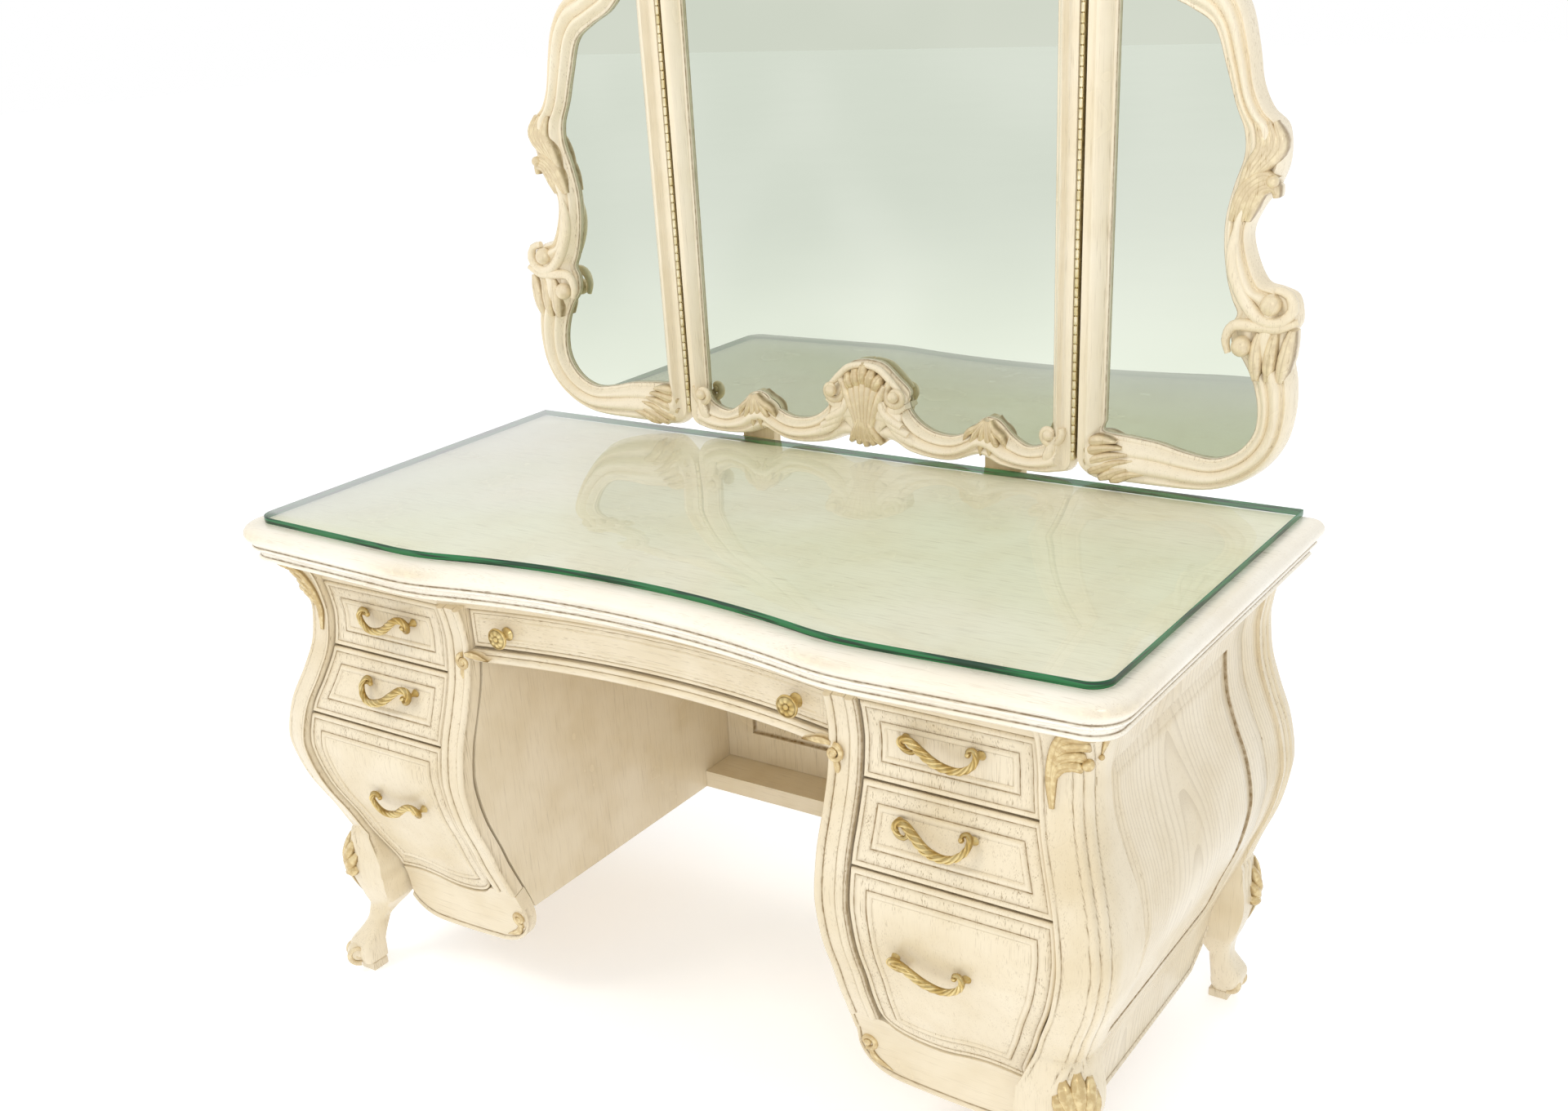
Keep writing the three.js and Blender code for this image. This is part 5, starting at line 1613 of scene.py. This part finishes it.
    def build(self, finishes: Finishes) -> None:
        """Builds the kneehole's pieces."""
        fit(self.drawer(), finishes.paint_across, "centre_drawer", PAINT, "centre_drawer_front")
        knob = self.knob()
        other = mirrored_copy(knob, "centre_knob_left_cast")
        fit(knob, finishes.brass, "centre_drawer", "brass", "centre_knob_right")
        fit(other, finishes.brass, "centre_drawer", "brass", "centre_knob_left")
        fit(self.arch_rail(), finishes.paint_across, "desk", PAINT, "kneehole_arch_rail")
        fit(self.modesty(), finishes.paint_up, "desk", PAINT, "modesty_panel")


# ---- Mirror ------------------------------------------------------------------------------------
@dataclass
class Arm:
    """One stretch of a mirror frame: its outer line and its sight line run side by side.

    Lines are control points, stops are the numbers of the control points that lie opposite each
    other, and reeds is how strongly the stretch is reeded, from 0 to 1, at each stop.
    """

    outer: Points
    sight: Points
    stops: Sequence[tuple[int, int]]
    reeds: Sequence[float]

    def rungs(self, step: float) -> tuple[np.ndarray, np.ndarray, np.ndarray]:
        """Gives matching points of both lines and the reeding at each."""
        dense = 10
        lines = [catmull(self.outer, dense), catmull(self.sight, dense)]
        outers, sights, reeds = [], [], []
        for number, (start, end) in enumerate(zip(self.stops[:-1], self.stops[1:])):
            parts = [line[a * dense : b * dense + 1] for line, a, b in zip(lines, start, end)]
            reach = max(np.linalg.norm(np.diff(part, axis=0), axis=1).sum() for part in parts)
            count = max(int(reach / step), 3) + 1
            outer, sight = (resample(part, count)[:-1] for part in parts)
            share = np.linspace(0, 1, count)[:-1]
            outers.append(outer)
            sights.append(sight)
            reeds.append(self.reeds[number] * (1 - share) + self.reeds[number + 1] * share)
        return np.vstack(outers), np.vstack(sights), np.concatenate(reeds)


@dataclass
class MirrorFrame:
    """Shapes the carved moulding that runs round a mirror plate."""

    name: str
    arms: Sequence[Arm]
    glass_front: float = -2.0
    back: float = -10.0
    rebate: float = 6.0
    hinge_level: float = 11.0
    step: float = 5.0
    columns: int = 34
    # Share of the width from the sight edge: level of a plain roll, level when reeded, glaze.
    roll: Points = (
        (0.0, 4.0, 4.0, 0.9), (0.03, 5.0, 5.0, 0.3), (0.07, 5.6, 5.6, 0.15), (0.1, 5.4, 5.2, 0.5),
        (0.13, 8.5, 8.0, 0.15), (0.2, 13.5, 14.0, 0.0), (0.27, 17.0, 17.2, 0.0), (0.33, 19.6, 15.4, 0.0),
        (0.37, 21.0, 12.2, 0.0), (0.41, 22.2, 15.5, 0.0), (0.48, 23.4, 21.0, 0.0), (0.56, 24.0, 24.0, 0.0),
        (0.63, 23.4, 23.4, 0.0), (0.69, 22.4, 19.0, 0.0), (0.73, 21.2, 13.0, 0.0), (0.77, 19.6, 15.0, 0.0),
        (0.83, 16.4, 18.0, 0.0), (0.89, 12.4, 16.0, 0.0), (0.95, 6.0, 9.5, 0.1), (1.0, -4.0, -4.0, 0.3),
    )

    def cap(self, x: np.ndarray) -> np.ndarray:
        """Gives the highest level at a distance from the middle: low next to the hinges."""
        near = np.abs(np.abs(x) - 341.0)
        return self.hinge_level + 13.5 * ease((near - 17.5) / 7.0)

    def build(self, closed_mirror: bool) -> bpy.types.Object:
        """Sweeps the moulding round the plate.

        Args:
            closed_mirror: Whether the arms are one half that is mirrored about the middle.

        Returns:
            The moulding.
        """
        outer, sight, reeds = (
            np.concatenate(part) for part in zip(*(arm.rungs(self.step) for arm in self.arms))
        )
        if closed_mirror:
            last_outer = np.array([self.arms[-1].outer[-1]], float)
            last_sight = np.array([self.arms[-1].sight[-1]], float)
            outer = np.vstack([outer, last_outer, outer[:0:-1] * (-1, 1)])
            sight = np.vstack([sight, last_sight, sight[:0:-1] * (-1, 1)])
            reeds = np.concatenate([reeds, reeds[-1:], reeds[:0:-1]])
        table = np.asarray(self.roll, float)
        share = np.interp(np.linspace(0, 1, self.columns), np.linspace(0, 1, len(table)), table[:, 0])
        plain, reeded, glaze = (np.interp(share, table[:, 0], table[:, k]) for k in (1, 2, 3))
        reeds = reeds[:, None]
        level = plain * (1 - reeds) + reeded * reeds
        dark = np.broadcast_to(glaze, level.shape) + reeds * 0.38 * (
            np.exp(-(((share - 0.37) / 0.02) ** 2)) + np.exp(-(((share - 0.73) / 0.02) ** 2))
        )
        points = sight[:, None, :] * (1 - share)[None, :, None] + outer[:, None, :] * share[None, :, None]
        level = np.minimum(level, self.cap(points[..., 0]))
        front = place(points[..., 0], level, points[..., 1])
        width = np.linalg.norm(outer - sight, axis=1)[:, None]
        inward = sight + (outer - sight) / width * self.rebate
        around = [
            place(outer[:, 0], self.back, outer[:, 1]), place(inward[:, 0], self.back, inward[:, 1]),
            place(inward[:, 0], self.glass_front + 0.4, inward[:, 1]),
            place(sight[:, 0], self.glass_front + 0.4, sight[:, 1]),
        ]
        ring = np.concatenate([front, np.stack(around, axis=1)], axis=1)
        tone = np.concatenate([dark, np.full((len(ring), 4), 0.08)], axis=1)
        return sweep(self.name, Sheet(ring, np.clip(tone, 0, 1), 0.04), closed=True, degrees=50)


def on_plane(depth: float) -> Surface:
    """Gives an upright surface to carve on, at a depth."""
    return lambda u, v, lift: place(u, depth + np.asarray(lift, float), v)


CENTRE_LOW = [
    (0, 790), (36, 803), (76, 790), (118, 785), (150, 787), (190, 799), (225, 788), (268, 785),
    (310, 787), (338.5, 800), (338.5, 860),
]
CENTRE_SIGHT_LOW = [
    (0, 925), (26, 921), (50, 902), (71, 882), (66, 863), (80, 842), (108, 826), (144, 823), (175, 836),
    (194, 855), (218, 855), (243, 833), (268, 821), (296, 830), (306, 846), (306, 862),
]
CENTRE_HIGH = [
    (338.5, 1560), (338.5, 1612), (318, 1634), (285, 1652), (246, 1656), (206, 1676), (160, 1724),
    (108, 1752), (66, 1790), (36, 1822), (0, 1834),
]
CENTRE_SIGHT_HIGH = [
    (302, 1550), (300, 1578), (282, 1596), (240, 1602), (196, 1622), (150, 1664), (112, 1690), (84, 1694),
    (70, 1712), (40, 1722), (0, 1708),
]
WING_OUTER = [
    (343.5, 830), (344.5, 810), (352, 797), (372, 786), (410, 785), (508, 787), (552, 793), (588, 808),
    (620, 834), (640, 868), (648, 908), (647, 946), (640, 980), (641, 1010), (648, 1028), (641, 1058),
    (620, 1068), (600, 1074), (584, 1102), (576, 1134), (586, 1162), (606, 1192), (616, 1224), (611, 1262),
    (590, 1282), (575, 1312), (567, 1352), (553, 1400), (526, 1436), (486, 1452), (446, 1476), (420, 1516),
    (402, 1562), (376, 1596), (352, 1604), (343.5, 1590),
]
WING_SIGHT = [
    (385, 870), (384, 856), (424, 852), (464, 848), (504, 839), (544, 835), (577, 849), (597, 876),
    (600, 908), (592, 942), (576, 972), (560, 992), (558, 1016), (564, 1032), (556, 1050), (547, 1078),
    (541, 1116), (541, 1152), (549, 1190), (560, 1226), (558, 1256), (545, 1286), (530, 1330), (512, 1376),
    (480, 1398), (440, 1418), (408, 1452), (388, 1492), (386, 1500),
]
WING_STOPS = [
    (0, 0), (2, 1), (4, 2), (5, 4), (6, 5), (8, 6), (9, 7), (10, 8), (11, 9), (12, 10), (13, 11), (15, 13),
    (17, 14), (18, 15), (19, 17), (21, 18), (22, 19), (23, 20), (25, 21), (26, 22), (27, 23), (29, 24),
    (30, 25), (31, 26), (33, 27), (35, 28),
]
WING_REEDS = [0, 0.2, 0.6] + [1.0] * 21 + [0.5, 0]


@dataclass
class Mirror:
    """Centre mirror, two folding wings, their carvings and the long hinges."""

    hinge_x: float = 341.0
    hinge_depth: float = 12.0
    hinge_low: float = 812.0
    hinge_high: float = 1574.0
    knuckle_pitch: float = 12.7
    knuckle_radius: float = 2.8

    def centre(self) -> bpy.types.Object:
        """Shapes the centre frame and its carvings."""
        stile = Arm(
            [CENTRE_LOW[-1], CENTRE_HIGH[0]], [CENTRE_SIGHT_LOW[-1], CENTRE_SIGHT_HIGH[0]],
            [(0, 0), (1, 1)], [0, 0],
        )
        low = Arm(
            CENTRE_LOW, CENTRE_SIGHT_LOW,
            [(0, 0), (2, 5), (4, 7), (5, 9), (6, 11), (7, 12), (8, 13), (9, 14), (10, 15)],
            [1, 1, 1, 0.8, 1, 1, 0.8, 0.2, 0],
        )
        high = Arm(
            CENTRE_HIGH, CENTRE_SIGHT_HIGH,
            [(0, 0), (1, 1), (3, 2), (5, 4), (7, 6), (8, 8), (10, 10)], [0, 0.2, 1, 1, 1, 1, 1],
        )
        frame_of = MirrorFrame("centre_mirror_moulding", [low, stile, high]).build(True)
        carver = Carver(on_plane(13.0), "centre_carving", sink=14.0)
        self.carve_shell(carver, 0.0, 792.0)
        self.carve_shell(carver, 0.0, 1703.0)
        for side in (-1, 1):
            self.carve_cluster(carver, side, 205.0, 856.0)
            carver.scroll(
                (307 * side, 847), 18.0, 1.25, 90 - 60 * side, 6.6, sense=-side, lift=9.0, gild=0.3,
            )
            carver.leaf(
                [(300 * side, 800), (308 * side, 822), (315 * side, 845)], (6, 10, 8, 4),
                (7, 10, 9, 6), gild=0.1
            )
            carver.scroll((300 * side, 1622), 14.0, 1.15, -60, 5.6, sense=side, lift=8.0, gild=0.15)
            for k in range(4):
                carver.leaf(
                    [
                        ((150 + 6 * k) * side, 1716 - 14 * k), ((176 + 4 * k) * side, 1672 - 8 * k),
                        ((206 + 2 * k) * side, 1640 - 4 * k),
                    ],
                    (2, 6, 6, 3, 0.6), (6, 9, 10, 7, 3), ridge=0.6, gild=0.75,
                )
        return join("centre_mirror_frame", [frame_of, *carver.pieces])

    def carve_shell(self, carver: Carver, x: float, z: float) -> None:
        """Carves the palmette with its curled top, two volutes and its lobed base."""
        for side in (-1, 1):
            carver.leaf(
                [
                    (x + 10 * side, z + 8), (x + 22 * side, z + 40), (x + 46 * side, z + 60),
                    (x + 70 * side, z + 70),
                ],
                (5, 10, 14, 12, 4), (6, 8, 8, 8, 4), gild=0.12,
            )
        for k in range(-3, 4):
            spread = k / 3
            lean = 36 * spread
            tall = 114 - 14 * abs(spread) ** 1.5
            carver.leaf(
                [(x + 3.5 * k, z + 12), (x + 5.5 * k, z + 50), (x + lean, z + tall)],
                (3.4, 4.6, 5.8, 7.4, 8.4, 5.5), (10, 13.0, 14.5, 15.5, 15, 10), ridge=-0.5, gild=0.5,
            )
        for k in range(-2, 3):
            carver.leaf(
                [
                    (x + 10 * k, z + 98 - 4 * abs(k)), (x + 13 * k, z + 115 - 4 * abs(k)),
                    (x + 15 * k, z + 129 - 8 * abs(k)),
                ],
                (6.0, 9.0, 9.5, 6.0), (13, 17.5, 17.5, 11), ridge=0.8, gild=0.75,
            )
        for side in (-1, 1):
            carver.scroll(
                (x + 55 * side, z + 86), 21.0, 1.3, 90 + 20 * side, 7.0, sense=side, lift=13.0,
                gild=0.4, ball=1.3,
            )
            carver.roll(
                [
                    (x + 2 * side, z + 128), (x + 26 * side, z + 123), (x + 45 * side, z + 108),
                    (x + 64 * side, z + 90),
                ],
                (4.5, 5.5, 5.5, 4.0), 4.0, gild=0.15,
            )
            for k in range(3):
                carver.roll(
                    [
                        (x + (26 + 7 * k) * side, z + 88 - 12 * k),
                        (x + (36 + 8 * k) * side, z + 58 - 12 * k),
                        (x + (66 + 10 * k) * side, z + 40 - 12 * k),
                    ],
                    (3.0, 6.5, 7.5, 6.0), 8.0 - 1.5 * k, gild=0.1,
                )
        for k in range(-2, 3):
            carver.leaf(
                [(x + 3 * k, z + 48), (x + 8 * k, z + 24), (x + 14 * k, z + 2 + 3.2 * abs(k))],
                (3.5, 6.0, 8.0, 7.5, 4.0), (14, 16, 15, 12, 6), ridge=0.7, gild=0.7,
            )

    def carve_cluster(self, carver: Carver, side: int, x: float, z: float) -> None:
        """Carves the leaf over the hump between two swags."""
        tips = [(-38, -34), (-26, -46), (-10, -54), (6, -56), (20, -50), (33, -38)]
        for k, (reach, drop) in enumerate(tips):
            bend = (x + reach * 0.35) * side, z - 12
            carver.leaf(
                [
                    ((x - 2 + 1.5 * k) * side, z - 1), bend,
                    ((x + reach * 0.75) * side, z + drop * 0.6), ((x + reach) * side, z + drop),
                ],
                (3.5, 5.6, 6.0, 5.0, 0.8), (6.5, 10, 11, 9, 3.5), ridge=0.7, gild=0.68 - 0.06 * (k % 2),
            )

    def wing(self) -> bpy.types.Object:
        """Shapes the right wing's frame and its carvings."""
        arm = Arm(WING_OUTER, WING_SIGHT, WING_STOPS, WING_REEDS)
        stile = Arm(
            [WING_OUTER[-1], WING_OUTER[0]], [WING_SIGHT[-1], WING_SIGHT[0]], [(0, 0), (1, 1)],
            [0, 0],
        )
        frame_of = MirrorFrame("right_wing_moulding", [arm, stile]).build(False)
        carver = Carver(on_plane(13.0), "wing_carving", sink=14.0)
        # Leaf over the lower corner next to the hinge.
        tips = ((400, 791), (383, 792), (368, 799), (361, 812), (361, 828), (366, 843))
        for k, (tip_x, tip_z) in enumerate(tips):
            root_x, root_z = 452 - 9 * k, 806 + 8 * k
            carver.leaf(
                [
                    (root_x, root_z), (root_x * 0.55 + tip_x * 0.45, root_z * 0.6 + tip_z * 0.4 + 3),
                    (tip_x, tip_z),
                ],
                (2.0, 4.5, 6.5, 8.4, 8.6, 5.0), (7, 11, 13, 13.5, 12, 6), ridge=0.7,
                gild=0.68 - 0.1 * (k % 2),
            )
        # Two volutes that meet at the waist, and the leaf between them.
        carver.roll(
            [
                (562, 1146), (558, 1104), (570, 1066), (594, 1034), (622, 1026), (641, 1042),
                (636, 1062), (618, 1068),
            ],
            (4, 8, 9, 9, 9, 8.5, 7, 5), 6.0, gild=0.12,
        )
        carver.knob((613, 1049), 14.0, 8.0, gild=0.4)
        carver.roll(
            [(650, 1030), (624, 1020), (594, 1021), (566, 1020), (556, 1002), (560, 984)],
            (4, 7.5, 8, 8, 6.5, 4), 6.0, gild=0.2,
        )
        carver.knob((578, 994), 13.5, 8.0, gild=0.4)
        for k in range(3):
            carver.leaf(
                [(642 - 21 * k, 1018 - 3 * k), (637 - 20 * k, 990), (630 - 16 * k, 950)],
                (5, 9, 10.5, 9.5, 5), (9, 13.5, 15, 14, 8), ridge=0.8, gild=0.4 + 0.1 * (k % 2),
            )
        # Curled leaf above the waist.
        for k in range(4):
            carver.leaf(
                [
                    (552 + 7 * k, 1150), (566 + 7 * k, 1186), (590 + 5 * k, 1206 - 5 * k),
                    (608, 1200 - 7 * k),
                ],
                (4, 8, 9.5, 8.5, 4), (8, 13, 15, 14, 9), ridge=0.8, gild=0.6,
            )
            carver.leaf(
                [
                    (560 + 4 * k, 1180 + 6 * k), (572 + 5 * k, 1212), (586 + 8 * k, 1240),
                    (576 + 8 * k, 1268),
                ],
                (4, 8, 9.5, 8, 3.0), (8, 13, 14, 12, 7), ridge=0.8, gild=0.55,
            )
        carver.knob((604, 1199), 8.0, 9.0, gild=0.6)
        # Leaf at the head of the wing.
        for k in range(5):
            carver.leaf(
                [
                    (372, 1590 - 4 * k), (384 + 5 * k, 1562 - 6 * k), (398 + 7 * k, 1530 - 8 * k),
                    (414 + 10 * k, 1500 - 9 * k),
                ],
                (3, 6, 7, 5, 0.8), (5, 9, 10.5, 9, 3), ridge=0.7, gild=0.7,
            )
        return join("right_mirror_frame", [frame_of, *carver.pieces])

    def knuckles(self, first: int, name: str) -> bpy.types.Object:
        """Makes one leaf's knuckles of the long hinge."""
        clear_selection()
        length = self.knuckle_pitch - 1.7
        at = place(self.hinge_x, self.hinge_depth, self.hinge_low + (first + 0.5) * self.knuckle_pitch)
        bpy.ops.mesh.primitive_cylinder_add(
            vertices=16, radius=self.knuckle_radius * MM, depth=length * MM, location=spot(at)
        )
        made = applied(name)
        finish_modifier(made, "BEVEL", width=0.0003, segments=2, limit_method="ANGLE")
        count = int((self.hinge_high - self.hinge_low) / self.knuckle_pitch / 2)
        step = 2 * self.knuckle_pitch * MM
        finish_modifier(
            made, "ARRAY", count=count, use_relative_offset=False, use_constant_offset=True,
            constant_offset_displace=(0.0, 0.0, step),
        )
        write_attribute(made, "glaze", np.zeros(len(made.data.vertices)))
        plate = self.plate(first)
        return join(name, [smooth(made, 40), plate])

    def plate(self, first: int) -> bpy.types.Object:
        """Makes one leaf's plate, which lies on the edge of its stile."""
        clear_selection()
        side = 1 if first else -1
        low, high = self.hinge_low, self.hinge_high
        at = place(self.hinge_x + side * 1.5, 2.0, (low + high) / 2)
        bpy.ops.mesh.primitive_cube_add(
            size=1, location=spot(at), scale=(0.0011, 0.0165, (high - low) * MM)
        )
        made = applied("hinge_plate")
        in_edit(lambda: bpy.ops.mesh.bevel(offset=0.0002, segments=1, affect="EDGES"))
        write_attribute(made, "glaze", np.full(len(made.data.vertices), 0.3))
        return made

    def build(self, finishes: Finishes) -> None:
        """Builds the mirror."""
        fit(self.centre(), finishes.paint_mirror, "desk", PAINT, "mirror_centre_frame")
        right = self.wing()
        left = mirrored_copy(right, "left_mirror_frame")
        fit(right, finishes.paint_mirror, "mirror_wing_right", PAINT, "mirror_right_frame")
        fit(left, finishes.paint_mirror, "mirror_wing_left", PAINT, "mirror_left_frame")
        fixed, moving = self.knuckles(0, "hinge_fixed_right"), self.knuckles(1, "hinge_moving_right")
        for side, pair in (
            (
                "left",
                (mirrored_copy(fixed, "hinge_fixed_left"), mirrored_copy(moving, "hinge_moving_left")),
            ),
            ("right", (fixed, moving)),
        ):
            fit(pair[0], finishes.hinge_brass, "desk", "brass", f"hinge_fixed_leaf_{side}")
            fit(pair[1], finishes.hinge_brass, f"mirror_wing_{side}", "brass", f"hinge_moving_leaf_{side}")


def dress_frame(finishes: Finishes) -> None:
    """Gives every CAD node that still shows its finish."""
    by_slot = {
        PAINT: finishes.paint_up, "drawer_wood": finishes.drawer_wood,
        "brass": finishes.brass, "mirror_glass": finishes.mirror,
        "clear_glass": finishes.glass_face, "backing_board": finishes.backing,
    }
    across = ("front_frieze_rail", "kneehole_ledge")
    slots = {row["node"]: row["material_slot"] for row in frame["record"]["subparts"]}
    for name, node in frame["nodes"].items():
        finish = finishes.paint_across if name in across else by_slot[slots[name]]
        dress(node, finish)


PARTS = (Top, PedestalDrawers, Pedestals, Kneehole, Mirror)


# ---- Stage -------------------------------------------------------------------------------------
@dataclass
class Studio:
    """Pale floor, white room, soft lights and the camera."""

    camera_place: tuple[float, float, float] = (1.2921, -1.7788, 1.4965)
    yaw: float = 0.6136
    pitch: float = 0.4537
    roll: float = -0.0588
    lens: float = 37.59
    shift: tuple[float, float] = (-0.00205, 0.1183)

    def add_camera(self) -> None:
        """Adds the camera and makes it the scene's."""
        cy, sy, cp, sp = math.cos(self.yaw), math.sin(self.yaw), math.cos(self.pitch), math.sin(self.pitch)
        ahead = np.array([-sy * cp, cy * cp, -sp])
        right = np.array([cy, sy, 0.0])
        above = np.cross(right, ahead)
        tilt_c, tilt_s = math.cos(self.roll), math.sin(self.roll)
        rolled_right = tilt_c * right + tilt_s * above
        rolled_above = -tilt_s * right + tilt_c * above
        lens = bpy.data.cameras.new("camera")
        lens.sensor_width = 36.0
        lens.lens = self.lens
        lens.shift_x, lens.shift_y = self.shift
        lens.clip_start = 0.01
        camera = bpy.data.objects.new("camera", lens)
        bpy.context.scene.collection.objects.link(camera)
        turn = Matrix(np.stack([rolled_right, rolled_above, -ahead], axis=1).tolist())
        camera.matrix_world = Matrix.Translation(self.camera_place) @ turn.to_4x4()
        bpy.context.scene.camera = camera

    def add_floor(self) -> None:
        """Adds a wide pale floor."""
        clear_selection()
        bpy.ops.mesh.primitive_plane_add(size=40.0, location=(0, 0, 0))
        floor = named("floor")
        made, add, place_of = new_material("pale_floor")
        cloud = add_streaks(add, place_of, (1.5, 1.5, 1.5))
        surface = {
            "Base Color": add(
                "Mix", COLOURS, {0: cloud, FIRST: linear("F6F8FC"), SECOND: linear("F2F4F8")}, MIXED,
            ),
            "Roughness": 0.7, "Emission Color": (1.0, 1.0, 1.0, 1.0), "Emission Strength": 0.38,
        }
        add("OutputMaterial", inputs={"Surface": add("BsdfPrincipled", inputs=surface)})
        dress(floor, made)

    def add_light(
        self, name: str, at: Points, size: float, power: float, colour: str, glint: bool = True,
    ) -> None:
        """Adds a square soft light that faces the table."""
        light = bpy.data.lights.new(name, "AREA")
        light.shape, light.size, light.energy = "SQUARE", size, power
        light.color = linear(colour)[:3]
        made = bpy.data.objects.new(name, light)
        made.matrix_world = Matrix.Translation(at) @ self.facing(at).to_4x4()
        made.visible_glossy = glint
        bpy.context.scene.collection.objects.link(made)

    def facing(self, at: Points) -> Matrix:
        """Gives the turn that points a light from a place to the middle of the table."""
        away = np.asarray(at, float) - np.array([0.0, 0.0, 0.6])
        away /= np.linalg.norm(away)
        across = np.cross([0.0, 0.0, 1.0], away)
        across /= np.linalg.norm(across)
        return Matrix(np.stack([across, np.cross(away, across), away], axis=1).tolist())

    def build(self) -> None:
        """Sets the whole stage."""
        self.add_camera()
        self.add_floor()
        self.add_light("key_light", (-2.2, -2.6, 4.4), 1.7, 63.0, "FFF8EC", False)
        self.add_light("fill_light", (2.2, -3.6, 2.2), 1.8, 24.0, "FFFDF8", False)
        self.add_light("glint_light", (2.7, -2.7, 2.8), 0.7, 10.0, "FFFDF8")
        self.add_light("back_light", (0.6, 3.0, 3.4), 1.6, 16.0, "FFFFFF", False)
        world = bpy.data.worlds.new("white_room")
        world.use_nodes = True
        world.node_tree.nodes.clear()
        add = partial(add_node, world.node_tree)
        # The backdrop is pure white; what it sheds on the table is a little softer.
        rays = {0: add("LightPath", output="Is Camera Ray"), 1: add("LightPath", output="Is Glossy Ray")}
        colours = {FIRST: (0.7, 0.7, 0.69, 1.0), SECOND: (1.0, 1.0, 1.0, 1.0)}
        tone = add("Mix", COLOURS, {0: add("Math", MOST, rays), **colours}, MIXED)
        add("OutputWorld", inputs={"Surface": add("Background", inputs={"Color": tone})})
        bpy.context.scene.world = world
        bpy.context.scene.view_settings.view_transform = "Standard"


def main() -> None:
    """Builds the table and its stage."""
    logging.basicConfig(level=logging.INFO, format="%(name)s: %(message)s")
    Studio().build()
    finishes = Finishes()
    for part in PARTS:
        part().build(finishes)
    dress_frame(finishes)


if __name__ == "__main__":
    main()
